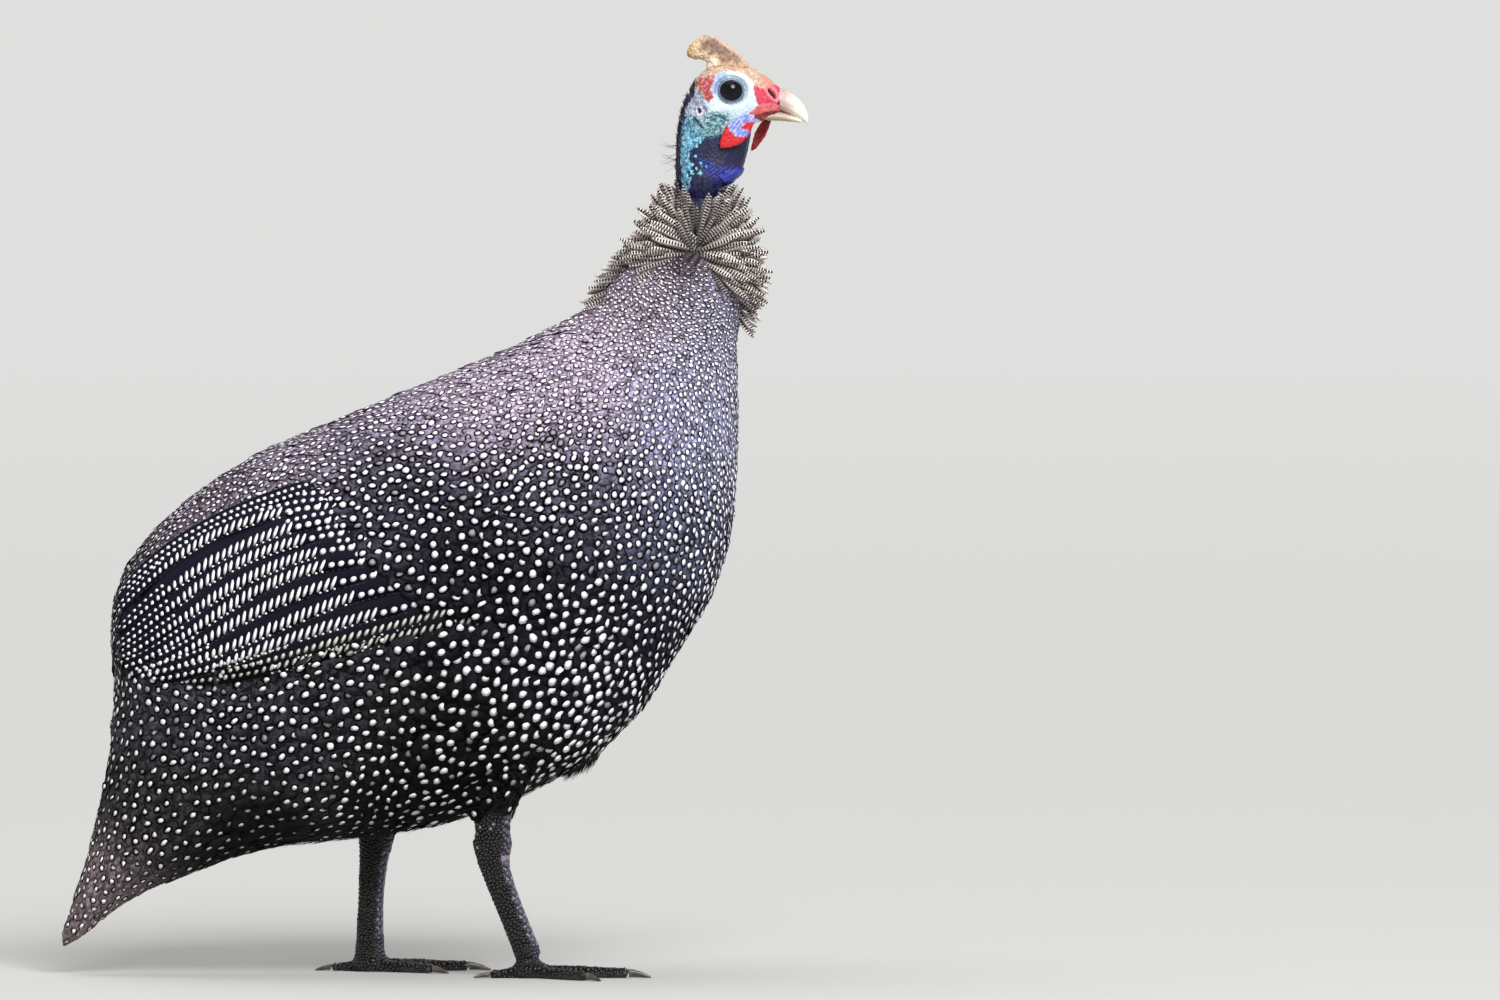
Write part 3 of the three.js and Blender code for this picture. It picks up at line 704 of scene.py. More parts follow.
def lay_spots(coat, tree, surface, points, normals, found, directions, values, marks, kind, height_mm):
    """Lays spots on top of the vanes: a ray down to the topmost feather, and a thin lens on it.
    marks holds each spot's own width, length and turn, so that its ring can have the same."""
    shape, faces = rod(SPOT_CORNERS)
    placed, facing, kept = [], [], []
    for index, (point, normal) in enumerate(zip(points, normals)):
        start = Vector(point + normal * RAY_REACH)
        hit, hit_normal, _, _ = tree.ray_cast(start, Vector(-normal), 1.6 * RAY_REACH)
        if hit is None or hit_normal.dot(Vector(normal)) < LEAST_FACING:
            continue
        placed.append(hit)
        facing.append(hit_normal)
        kept.append(index)
    placed, facing, values = np.array(placed), np.array(facing), values[kept]
    forms = len(kept)
    along_axis = tangent(directions[kept], facing)
    across_axis = np.cross(along_axis, facing)
    margin = values[:, RING] * MM if kind == "ring" else 0.0
    size, turn = 1 + 0.13 * marks[kept, :2], 0.3 * marks[kept, 2:]
    width = values[:, SPOT_W] * MM / 2 * size[:, 0] + margin
    length = values[:, SPOT_L] * MM / 2 * size[:, 1] + margin
    x, y = shape[None, :, 0] * width[:, None], shape[None, :, 1] * length[:, None]
    wobble = 1 + random.normal(0, 0.07, (forms, shape.shape[0]))
    taper = 1 - 0.22 * shape[None, :, 1] * random.random((forms, 1))
    x, y = x * taper * wobble, y * wobble
    x, y = x * np.cos(turn) - y * np.sin(turn), x * np.sin(turn) + y * np.cos(turn)
    rise = np.broadcast_to((height_mm + 0.06 * shape[None, :, 2]) * MM, x.shape)
    lenses = moved_along(placed, (across_axis, x), (along_axis, y), (facing, rise))
    local = shape[:, :2] * 0.3 + 0.5
    uv = uv_at(surface, found[kept])
    if kind == "ring":
        ring_colour = values[:, GROUND_COLOUR] * 0.7
        coat.add(lenses, faces, uv, local, net=np.zeros(forms), ground=ring_colour, pale=ring_colour)
    else:
        shade = random.normal(1, 0.06, (forms, 1)).clip(0.8, 1.12)
        faint = random.random((forms, 1)) < 0.09
        coat.add(lenses, faces, uv, local, pale=values[:, SPOT_COLOUR] * np.where(faint, 0.3, shade))


# Bare skin of head and neck, drawn as outlines in the side view (x, z in mm) and laid one over the
# other. Each has a colour, a second colour that mottles it and how much, the softness and waviness
# of its edge in mm, and how far the skin stands out there and how rough it is, in mm.
SKIN_REGIONS = [
    # region, colour, mottle, amount, soft, wave, rise, rough, outline
    ("throat", 0x10122E, 0x23256A, 0.35, 1, 0.5, 0, 0.10,
     [(112, 410), (124.6, 420.5), (127.9, 418.8), (131.3, 414.9), (135.8, 411.2), (140.3, 412.3),
      (156.1, 414.9), (166, 414), (164, 370), (105, 370)]),
    ("crown", 0xE0C6AC, 0xB07A60, 0.65, 0.8, 0.5, 0.25, 0.22,
     [(120, 437), (124, 444), (128, 456), (160, 456), (175, 440), (172, 433), (160, 426), (130, 426)]),
    ("throat blue", 0x2230A0, 0x10122E, 0.6, 2, 1, 0, 0.15,
     [(129.6, 400.1), (133.6, 399.6), (141, 396), (146, 396), (151.6, 396), (150, 390), (144.8, 388.2),
      (138.1, 388.6), (133.7, 392.9)]),
    ("throat fold", 0x3E4CC4, 0x2230A0, 0.5, 0.8, 0.5, 0.9, 0.15,
     [(140.3, 391.2), (143.7, 394.2), (152.2, 395.4), (151.4, 391), (145.8, 388), (142.6, 388.2)]),
    ("face", 0xDDEDF3, 0xA9CEDC, 0.45, 1.2, 0.6, 0.1, 0.12,
     [(126, 420), (132.4, 428.7), (134, 436), (135.8, 437.4), (138.1, 440.7), (144.8, 443.3),
      (151.6, 441.3), (156.6, 436.2), (157.8, 430.6), (158, 425), (162, 419), (156, 414), (146, 413),
      (136, 411.5), (130, 412)]),
    ("cheek", 0x8CC6C8, 0x235C74, 0.95, 3.6, 1.6, 0.35, 0.26,
     [(125.1, 421.6), (132.4, 421.1), (139.2, 423), (144.9, 421.1), (143.1, 416.1), (140.9, 412.2),
      (135.8, 410.8), (130.2, 411.6), (126.3, 416)]),
    ("turquoise strip", 0x98DEF2, 0x2A74A4, 0.70, 0.6, 1.9, 0.3, 0.32,
     [(123.4, 421.1), (127.4, 420.5), (131.4, 416.7), (133.2, 412.2), (131.3, 410), (129.7, 407.7),
      (126.5, 404.7), (125.1, 399.1), (124.3, 392.9), (123.4, 385.6), (121.8, 386.7), (120.6, 395.2),
      (120.3, 403.6), (120.6, 414.9)]),
    # The white brow is pale skin on a raised ridge, painted whiter still as a painted highlight
    ("white brow painted highlight", 0xF6FAFF, 0xD2E0F0, 0.15, 0.6, 0.3, 0.55, 0.06,
     [(143.8, 441.2), (148.6, 442.6), (153.3, 440.4), (157, 436.2), (155.4, 433.6), (152.8, 437.8),
      (150.4, 439.4), (146.4, 440.7)]),
    ("blue brow", 0x8FA9DE, 0xCFDDF2, 0.5, 1, 0.5, 0, 0.10,
     [(136.9, 440.2), (141.4, 443), (145.4, 442), (141.8, 440), (139, 436.5), (138.3, 431.5),
      (135.6, 433)]),
    ("red patch", 0xB83440, 0xE8A098, 0.80, 0.5, 0.6, 0.35, 0.40,
     [(129, 437.4), (132.4, 439.9), (137.4, 440.7), (136.7, 437.4), (135.7, 434), (136.9, 430.1),
      (135.8, 428.3), (133, 428.5), (131.3, 431.7), (130.2, 434)]),
    ("behind the ear", 0xC8D6E8, 0x5A5B80, 0.70, 0.8, 0.6, 0.1, 0.30,
     [(127.4, 435.1), (131.3, 431.7), (132.7, 428.4), (134.4, 423.9), (132.4, 419.9), (129.1, 418.8),
      (125.7, 421.1), (122.6, 420.5), (121.5, 424), (125.7, 434)]),
    ("nape", 0x2C2444, 0x8C82A8, 0.40, 0.5, 0.6, 0.1, 0.30,
     [(127.6, 437.5), (127.8, 431.7), (123.4, 425), (122.6, 420.5), (121, 414.9), (120.6, 403.6),
      (120.9, 395.2), (121.4, 385.6), (121, 376), (108, 376), (110, 400), (112, 420), (118, 437)]),
    ("cere top", 0xDC8F80, 0xE8B09A, 0.4, 0.6, 0.4, 0.2, 0.20,
     [(160, 440.2), (163.4, 441), (167.8, 437.8), (172.3, 434), (169.6, 433.6), (165.6, 434.4),
      (160.6, 435.7)]),
    ("cere", 0xC8304A, 0xE0607A, 0.4, 0.5, 0.3, 0.45, 0.12,
     [(156.3, 436), (161.7, 434.2), (165.8, 436.3), (170.4, 434), (169.7, 429.5), (167, 426.4),
      (162, 425.6), (158.9, 426.7), (157.2, 430.6)]),
    # The nostril's raised rim is painted pale pink as a painted highlight
    ("nostril rim painted highlight", 0xE8707E, 0xF4A0A4, 0.4, 0.9, 0.3, 0.75, 0.10,
     [(162, 434.6), (163.2, 436), (165.2, 435.8), (167.6, 433.4), (169.4, 430.4), (169.2, 428.2),
      (166.4, 427.8), (163.4, 430.6), (162, 432.8)]),
    # The nostril is a pit painted near black: painted shade in the opening
    ("nostril", 0x16030A, 0x3A0A12, 0.4, 0.7, 0.25, -1.9, 0,
     [(163.4, 434.3), (164.6, 434.4), (166.3, 432.7), (167.7, 430.5), (167.6, 429.2), (166.4, 429.5),
      (164.7, 431.4), (163.6, 433)]),
    ("lower jaw flesh", 0x8E2028, 0xC0525A, 0.5, 0.5, 0.3, 0, 0.15,
     [(157, 422.4), (163.8, 424), (174.5, 421.6), (170, 418.2), (160.6, 418.2), (156.5, 420)]),
    ("gape fold", 0xD0565E, 0xE89A90, 0.5, 0.5, 0.3, 0.55, 0.12,
     [(153.5, 422), (157, 425), (160, 427), (167.3, 427), (175.6, 423.2), (173.5, 421.7), (166.8, 423.7),
      (160.6, 422.6), (155.9, 420.4)]),
    ("ear ring", 0xE2E2EE, 0xA8A0C0, 0.5, 0.4, 0.2, 0.6, 0.10,
     [(128.2, 422.6), (129.4, 420.6), (131.8, 421.2), (132.6, 423.8), (131.2, 426), (128.8, 425.6)]),
    # The ear is a pit painted dark: painted shade in the opening
    ("ear", 0x3A2E48, 0x3A2E48, 0, 0.4, 0.1, -1.2, 0,
     [(129.2, 422.6), (130.4, 421.9), (131.2, 423.4), (130.4, 424.9), (129.2, 424.7)]),
    # The jaw crease is sunk and painted dark navy: painted shade in the crease
    ("jaw crease painted shade", 0x0C1C38, 0x0C1C38, 0, 0.35, 0.2, -0.8, 0,
     [(126.6, 420.6), (128.4, 419.9), (131.6, 416), (131.9, 414.2), (131, 413.9), (129, 416.6)]),
]
FLECKS_MM = [
    # small turquoise flecks where the strip breaks up: x, z, size
    (126.8, 397.2, 1), (130.8, 397.7, 1.1), (126.3, 394.1, 1.3), (130.5, 393.5, 1.2), (124, 391.8, 1),
    (125.7, 390.4, 1), (125.1, 388.4, 1.2), (123.7, 385.9, 1.4), (128, 401.2, 0.8), (128.6, 406.6, 1),
    (130.6, 408.6, 0.8), (124.8, 395.8, 0.9), (133.4, 396.2, 0.7), (128.6, 395.4, 0.6), (123, 383.4, 1),
]
WATTLE_BLUE = [
    (145.9, 422.2), (153.3, 423.2), (158.2, 421), (157.6, 418.6), (151.9, 418), (150.6, 415), (154.2, 414),
    (152.2, 411.6), (148, 411.3), (145.4, 413.6), (144, 418),
]
WATTLES = [
    # node, side, root and tip in the side view, and how it narrows along its length
    ("wattle_right", -1, (157, 422), (140, 404.8), ([0, 0.3, 0.6, 0.85, 1.05], [1, 1.2, 1.3, 0.95, 0.35])),
    ("wattle_left", 1, (164.5, 421.5), (155.5, 403), ([0, 0.2, 0.6, 1.05], [1, 0.85, 0.72, 0.45])),
]
EYE_MM = (145.6, 433.4)
EYE_DEPTH_MM = 6.3
EYE_RADIUS_MM = 6.6
LID_MM = (5.15, 4.8)
LID_SECTION = (0.085, 0.09, 1.0)
LID_BANDS = [
    # bands of colour round the eye: from and to as shares of the opening, colour, strength
    (1.00, 1.12, 0x07071A, 1.0), (1.12, 1.19, 0x7C92C4, 0.8), (1.19, 1.29, 0x0F1134, 0.95),
    (1.29, 1.36, 0xA8C0E0, 0.5), (1.36, 1.42, 0x4A6694, 0.35),
]


def inside(points, outline, soft, shift=0.0):
    """How far points (x, z in mm) lie inside an outline: 1 well inside, 0 outside, soft between."""
    corners = np.array(outline, float)
    ends = np.roll(corners, -1, axis=0)
    edge = ends - corners
    out = points[:, None] - corners[None]
    share = ((out * edge).sum(2) / (edge**2).sum(1)).clip(0, 1)
    distance = np.linalg.norm(out - share[..., None] * edge, axis=2).min(1)
    crosses = (corners[None, :, 1] > points[:, None, 1]) != (ends[None, :, 1] > points[:, None, 1])
    slope = edge[:, 0] / np.where(edge[:, 1] == 0, 1e-9, edge[:, 1])
    left_of = points[:, None, 0] < corners[:, 0] + slope * (points[:, None, 1] - corners[:, 1])
    within = (crosses & left_of).sum(1) % 2 == 1
    signed = np.where(within, distance, -distance) + shift
    level = (signed / soft + 0.5).clip(0, 1)
    return level * level * (3 - 2 * level)


def grain(points, size_mm, seed):
    """Smooth seeded noise from about -1 to 1 at points in mm."""
    offset = Vector((seed * 17.3, seed * 5.1, seed * 29.7))
    return np.array([noise.noise(Vector(point) / size_mm + offset) for point in points]) * 1.8


def smoothstep(value, low, high):
    level = ((value - low) / (high - low)).clip(0, 1)
    return level * level * (3 - 2 * level)


def mix(under, over, share):
    """Colours from under to over by a share; each is an sRGB hex number or an array of colours."""
    under, over = (np.array(linear(end)) if isinstance(end, int) else end for end in (under, over))
    return under + (over - under) * share[:, None]


def tree_of_node(name):
    form = bmesh.new()
    form.from_mesh(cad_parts[name].data)
    tree = BVHTree.FromBMesh(form)
    form.free()
    return tree


def gap_to(name, points_mm):
    """Distance in mm of each point from a node's surface."""
    tree = tree_of_node(name)
    return np.array([tree.find_nearest(Vector(point) * MM)[3] for point in points_mm]) / MM


def in_vee(points):
    """The dark blue wedge of bare neck that runs down into the top of the ruff on each side."""
    x, z = side_mm(points)
    return (z > 365) & (np.abs(x - 129.5) < 0.5 * (z - 365) + 0.6) & (np.abs(points[:, 1]) > 0.004)


def on_leg_front(points, normals, low=16, high=61):
    """The front of the shanks, where scutes take the place of the small round plates."""
    x, z = side_mm(points)
    faces_front = (normals[:, 0] > 0.30) & (np.abs(normals[:, 2]) < 0.6)
    return (z > low) & (z < high) & (x > -68) & faces_front


def paint_regions(side_view, wave, mottle):
    """The head's colours, how far its skin stands out and how rough it is in mm."""
    tone = flat(0x2A2C50, len(side_view))
    rise, rough = np.zeros((2, len(side_view)))
    for _, colour, second, amount, soft, waviness, lift, roughness, outline in SKIN_REGIONS:
        share = inside(side_view, outline, soft, waviness * (0.7 * wave[:, 0] + 0.5 * wave[:, 1]))
        tone = mix(tone, mix(colour, second, amount * mottle), share)
        rise = rise * (1 - share) + lift * share
        rough = rough * (1 - share) + roughness * share
    for x, z, size in FLECKS_MM:
        distance = np.linalg.norm((side_view - (x, z)) * (1.15, 0.85), axis=1) + 0.75 * size * wave[:, 1]
        share = 1 - smoothstep(distance, 0.55 * size, 0.85 * size)
        tone = mix(tone, 0x86D0EA, share)
        rise += 0.3 * share
    streaks = np.sin((side_view @ (0.55, -0.83)) * 4.2 + 1.2 * wave[:, 0])
    outlines = {region[0]: region[-1] for region in SKIN_REGIONS}
    cheek = inside(side_view, outlines["cheek"], 3.0)
    # Streaks across the cheek: the raised ridges are painted pale as painted highlight and the sunk grooves
    # dark as painted shade
    strokes = np.sin((side_view @ (0.42, 0.91)) * 1.9 + 3.0 * wave[:, 0] + 1.3 * wave[:, 1])
    rise += 0.3 * strokes * cheek
    tone = mix(tone, 0x123E50, cheek * (0.5 - 0.5 * strokes) ** 2 * 0.8)
    tone = mix(tone, 0xC8E8E6, cheek * (0.5 + 0.5 * strokes) ** 3 * 0.45)
    strip = inside(side_view, outlines["turquoise strip"], 1.2)
    holes = smoothstep(0.7 * wave[:, 1] + 0.5 * wave[:, 0] + 0.25 * (mottle - 0.5), 0.05, 0.42)
    rise -= 0.3 * holes * strip
    tone = mix(tone, 0x16305C, strip * holes * 0.72)
    throat_blue = inside(side_view, outlines["throat blue"], 2.0)
    # Creases on the throat's blue: the sunk grooves are painted darker, painted shade
    rise += 0.22 * streaks * throat_blue
    tone = mix(tone, 0x0B0C24, throat_blue * (0.5 - 0.5 * streaks) * 0.55)
    return tone, rise, rough


def shape_wattles(mm, normals, wave, mottle, moved, tone):
    """Both wattles hang beside the jaw; the near one is blue at its root and red at its edge, and the far
    one's red is painted darker inside its rim as painted shade.
    """
    to_head = np.minimum(gap_to("head", mm), gap_to("neck_upper", mm))
    side_view = mm[:, [0, 2]]
    for name, sign, root, tip, narrowing in WATTLES:
        to_wattle = gap_to(name, mm)
        index = np.flatnonzero((to_wattle < 0.7) & (to_wattle < to_head + 0.15) & (mm[:, 1] * sign > 0))
        axis = np.array(tip) - root
        length = np.linalg.norm(axis)
        axis = axis / length
        aside = np.array((-axis[1], axis[0]))
        from_root = side_view[index] - root
        along, out = from_root @ axis / length, from_root @ aside
        red = mix(0xD21A20, 0x9A1016, 0.5 * mottle[index])
        rim = smoothstep(np.abs(out), 0.45 * np.abs(out).max(), 0.8 * np.abs(out).max())
        if sign < 0:
            lobe = inside(side_view[index], WATTLE_BLUE, 0.9, 0.5 * wave[index, 1])
            blue = mix(0x6C86E6, 0xD6D9F4, mottle[index])
            lines = 0.5 + 0.5 * np.sin((side_view[index] @ (0.8, -0.6)) * 4.5 + wave[index, 0])
            blue = mix(blue, 0x3443A8, 0.6 * lines)
            tone[index] = mix(red, blue, lobe)
        else:
            # The far wattle's red is painted darker as painted shade, all but its red rim
            tone[index] = mix(mix(red, 0x3A0A0C, np.full(len(index), 0.6)), 0xC8242C, rim)
        shrink = np.interp(along, *narrowing)
        place = np.array(root) + axis * (along * length)[:, None] + aside * (out * shrink)[:, None]
        moved[index] = mm[index] + normals[index] * (0.12 * wave[index, 1])[:, None]
        moved[index, 0] += place[:, 0] - side_view[index, 0]
        moved[index, 2] += place[:, 1] - side_view[index, 1]


def shape_lids(across, moved, tone):
    """The skin dips under the eyeball inside the opening and rises over it in rings round it."""
    offset = moved[:, [0, 2]] - EYE_MM
    ring = np.linalg.norm(offset / LID_MM, axis=1)
    ball = EYE_DEPTH_MM + np.sqrt((EYE_RADIUS_MM**2 - (offset**2).sum(1)).clip(0, None))
    depth = np.where(ring < 1, ball - 1.3, ball + 0.55)
    folds = 0.22 * np.cos((ring - 1.1) * 2 * np.pi / 0.17) * (1 - smoothstep(ring, 1.35, 1.75))
    blend = smoothstep(ring, 1.14, 1.8)
    near_eye = (ring < 1.82) & (np.abs(across) > 4)
    target = depth * (1 - blend) + np.abs(moved[:, 1]) * blend + folds * (ring > 1.05)
    moved[near_eye, 1] = (np.sign(across) * target)[near_eye]
    for low, high, colour, share in LID_BANDS:
        within = 1 - smoothstep(ring, high - 0.02, high + 0.02)
        band = smoothstep(ring, low - 0.02, low + 0.02) * within * near_eye
        tone = mix(tone, colour, share * band)
    return tone, ring


def shape_and_paint_head(mesh):
    """Moves the head's vertices into lids, folds, ear and nostril, and gives every vertex its colour."""
    places = numbers(mesh.vertices, "co", 3).astype(float)
    normals = numbers(mesh.vertices, "normal", 3).astype(float)
    colours = plumage_at(places)[:, GROUND_COLOUR]
    neck = places[:, 2] > RUFF_FOOT_Z
    colours[neck] = mix(0x241C20, 0x16173A, in_vee(places[neck]).astype(float))
    leg = (places[:, 2] < LEG_TOP_Z) & (places[:, 0] > -0.07)
    colours[leg] = linear(0x2C2628)
    colours[on_leg_front(places, normals)] = linear(0x837E8A)
    head = np.flatnonzero(places[:, 2] > HEAD_FOOT_Z)
    mm = places[head] / MM
    wave = np.stack([grain(mm, 2.2, 1), grain(mm, 1.1, 2)], axis=1)
    mottle = (0.5 + 0.9 * (0.6 * grain(mm, 1.9, 3) + 0.5 * grain(mm, 0.8, 4))).clip(0, 1)
    tone, rise, rough = paint_regions(mm[:, [0, 2]], wave, mottle)
    moved = mm + normals[head] * (rise + rough * wave[:, 1])[:, None]
    shape_wattles(mm, normals[head], wave, mottle, moved, tone)
    tone, ring = shape_lids(mm[:, 1], moved, tone)
    places[head] = moved * MM
    colours[head] = tone
    mesh.vertices.foreach_set("co", places.astype(np.float32).ravel())
    mesh.update()
    grit = np.full(len(places), 0.5)
    grit[head] = (rough / 0.3).clip(0, 1) * (ring > 1.3)
    paint(mesh, "paint", colours)
    paint(mesh, "grit", grit)


FLESH = [f"{part}_{side}" for side in SIDES for part in ("wing", "thigh", "shank", "foot", "wattle")]
FLESH += [f"toe_{toe}_{side}" for side in SIDES for toe in TOES]
FLESH += ["trunk", "tail", "neck_lower", "neck_upper", "head"]

skin_mesh = build_skin()
shape_and_paint_head(skin_mesh)
bare_skin = bare_skin_material("bare_bird_skin")
piece_from("skin", skin_mesh, bare_skin, FLESH, unwrapped=True)
surface = Surface(skin_mesh)


# Horn: casque, bill and claws are fused finely from their nodes, then given relief and colour
def horn_piece(name, names, made, voxel_mm, rounds, colour_of, relief_of):
    """A fine horn piece: colour_of and relief_of get points in mm and three fields of noise."""
    form = remeshed(copies_of(names), voxel_mm * MM)
    smooth(form, rounds)
    inset(form, -0.05 * MM)
    mesh = mesh_of(form, names[0])
    points = numbers(mesh.vertices, "co", 3).astype(float) / MM
    normals = numbers(mesh.vertices, "normal", 3).astype(float)
    fields = [grain(points, size, seed) for size, seed in ((3.0, 5), (1.2, 6), (0.6, 7))]
    points += normals * relief_of(points, *fields)[:, None]
    mesh.vertices.foreach_set("co", (points * MM).astype(np.float32).ravel())
    mesh.update()
    paint(mesh, "paint", colour_of(points, *fields).clip(0, 1))
    piece_from(name, mesh, made, names, unwrapped=True)


CASQUE_FOOT = [(132, 448.6), (137.5, 451.3), (141.4, 446.9), (140.3, 442), (131, 442)]
CASQUE_GOLD = [(139, 449.6), (145.9, 449), (151.6, 447.4), (158, 443), (148.8, 442), (140, 444)]
CASQUE_BROWN = [
    (129.2, 458.9), (134.7, 460.2), (139.2, 458.9), (144.3, 455), (149.2, 450.8), (150.8, 446.4),
    (145, 446.8), (139.8, 449), (134.7, 451.8), (130, 454.4),
]


def casque_colour(points, wide, middle, fine):
    """Bony casque: ochre knob, brown mottling over the top middle, pale buff foot."""
    side = points[:, [0, 2]]
    tone = mix(0xD8BC9C, 0xE8D2BC, inside(side, CASQUE_FOOT, 2.5, wide))
    tone = mix(tone, 0xC09A72, inside(side, CASQUE_GOLD, 2.5, wide) * 0.7)
    tone = mix(tone, 0xBE9A62, 1 - smoothstep(points[:, 0] + 0.8 * wide, 124.0, 129.5))
    brown = inside(side, CASQUE_BROWN, 6.0, 1.3 * wide + 1.0 * middle)
    streaks = 0.5 * middle + 0.45 * fine + 0.3 * np.sin(side @ (1.3, 1.6) + wide)
    tone = mix(tone, 0x7E5C50, brown * 0.85)
    tone = mix(tone, 0x3E241E, brown * (0.35 + 0.6 * streaks).clip(0, 0.8))
    edge = smoothstep(points[:, 2] + 0.75 * points[:, 0], 561.0, 563.5) * smoothstep(points[:, 0], 131, 136)
    tone = mix(tone, 0xD9B0A2, 0.75 * edge)
    speck = smoothstep(middle + 0.6 * fine, 0.55, 0.95)
    tone = mix(tone, 0x8A5A34, 0.25 * speck)
    return tone * (1 + 0.14 * fine + 0.08 * middle)[:, None]


def bill_ridges(x, z, middle):
    return np.sin((x + 0.25 * (z - 425)) * 5.5 + middle)


def bill_colour(points, wide, middle, fine):
    """Bill horn: greyish pink at the base, ivory tip, yellow-green along the cutting edges."""
    x, z = points[:, 0], points[:, 2]
    tone = mix(0xDDD6C6, 0xC2A09C, 1 - smoothstep(x + wide, 170.5, 178))
    cutting_edge = 1 - smoothstep(z - 420.6 + 0.35 * (x - 172) + 0.3 * wide, -1.2, 1.4)
    tone = mix(tone, 0xA8A67C, cutting_edge * 0.7)
    tone = mix(tone, 0xF0ECE2, smoothstep(x + 0.5 * wide, 178, 182) * 0.5)
    ridges = 0.5 + 0.5 * bill_ridges(x, z, middle)
    return tone * (1 + 0.04 * fine - 0.18 * ridges * (1 - smoothstep(x, 174, 179)))[:, None]


def bill_relief(points, wide, middle, fine):
    x, z = points[:, 0], points[:, 2]
    ridges = bill_ridges(x, z, middle)
    return 0.10 * ridges * (1 - smoothstep(x, 174, 179)) + 0.03 * fine


bone = painted_material("casque_keratin_over_bone", 0.55, 0.5, 0.15, 0.3, Specular_IOR_Level=0.4)
horn = painted_material("bill_keratin", 0.3, 0.8, 0.04, 0.08, Specular_IOR_Level=0.5)
horn_piece(
    "casque_horn", ["casque"], bone, 0.4, 4, casque_colour,
    lambda points, wide, middle, fine: 0.28 * middle + 0.2 * fine,
)
horn_piece("bill_horn", ["bill_upper", "bill_lower"], horn, 0.32, 3, bill_colour, bill_relief)
claws = [f"claw_{toe}_{side}" for side in SIDES for toe in TOES]
claw_keratin = painted_material("claw_keratin", 0.35, 0.8, 0.05, 0.15)
horn_piece(
    "claws", claws, claw_keratin, 0.3, 2,
    lambda points, wide, middle, fine: mix(0x2A2420, 0x6A5E50, (0.3 + 0.3 * wide).clip(0, 1)),
    lambda points, wide, middle, fine: 0.02 * fine,
)


# Eyes: wet dark balls, with the margin of the lids as a thin dark ring round each
def eye_mesh():
    form = bmesh.new()
    for sign in SIDES.values():
        place = Vector((EYE_MM[0], sign * EYE_DEPTH_MM, EYE_MM[1])) * MM
        turned = Matrix.Translation(place) @ Matrix.Rotation(math.radians(90), 4, "X")
        radius = EYE_RADIUS_MM * MM
        bmesh.ops.create_uvsphere(form, u_segments=64, v_segments=48, radius=radius, matrix=turned)
    mesh = mesh_of(form, "eyes")
    points = numbers(mesh.vertices, "co", 3).astype(float) / MM
    reach = np.linalg.norm(points[:, [0, 2]] - EYE_MM, axis=1)
    iris = smoothstep(reach, 2.4, 2.7) * (1 - smoothstep(reach, 4.6, 5.1))
    paint(mesh, "paint", mix(0x030204, 0x0C0710, iris))
    return mesh


def lid_margins():
    """A ring of round section round each eye, spun level, squeezed to the opening and laid on the ball."""
    form = bmesh.new()
    for sign in SIDES.values():
        made = bmesh.ops.create_circle(form, segments=10, radius=1.0)
        bmesh.ops.scale(form, verts=made["verts"], vec=LID_SECTION)
        bmesh.ops.rotate(form, verts=made["verts"], matrix=Matrix.Rotation(math.radians(90), 3, "X"))
        bmesh.ops.translate(form, verts=made["verts"], vec=(1.04, 0, 0))
        edges = list(dict.fromkeys(edge for vert in made["verts"] for edge in vert.link_edges))
        bmesh.ops.spin(
            form, geom=made["verts"] + edges, cent=(0, 0, 0), axis=(0, 0, 1),
            angle=2 * math.pi, steps=72, use_merge=True,
        )
        verts = [vert for vert in form.verts if not vert.tag]
        for vert in verts:
            vert.tag = True
            out = Vector((vert.co.x * LID_MM[0], vert.co.y * LID_MM[1]))
            ball = math.sqrt(EYE_RADIUS_MM**2 - min(out.length, 6.1) ** 2)
            height = EYE_DEPTH_MM + ball + 0.15 + vert.co.z * LID_MM[0]
            vert.co = Vector((EYE_MM[0] + out.x, sign * height, EYE_MM[1] + out.y)) * MM
    bmesh.ops.recalc_face_normals(form, faces=form.faces)
    mesh = mesh_of(form, "eyelid_margins")
    paint(mesh, "paint", flat(0x0E0E22, len(mesh.vertices)))
    return mesh


wet_eye = painted_material("cornea_over_dark_iris", 0.05, 2.0, 0.0, 0.05, Specular_IOR_Level=0.24)
piece_from("eyes", eye_mesh(), wet_eye, ["eye_left", "eye_right"], unwrapped=True)
lid_skin = painted_material("lid_margin_skin", 0.35, 0.5, 0.05, 0.15)
piece_from("eyelid_margins", lid_margins(), lid_skin, unwrapped=True)


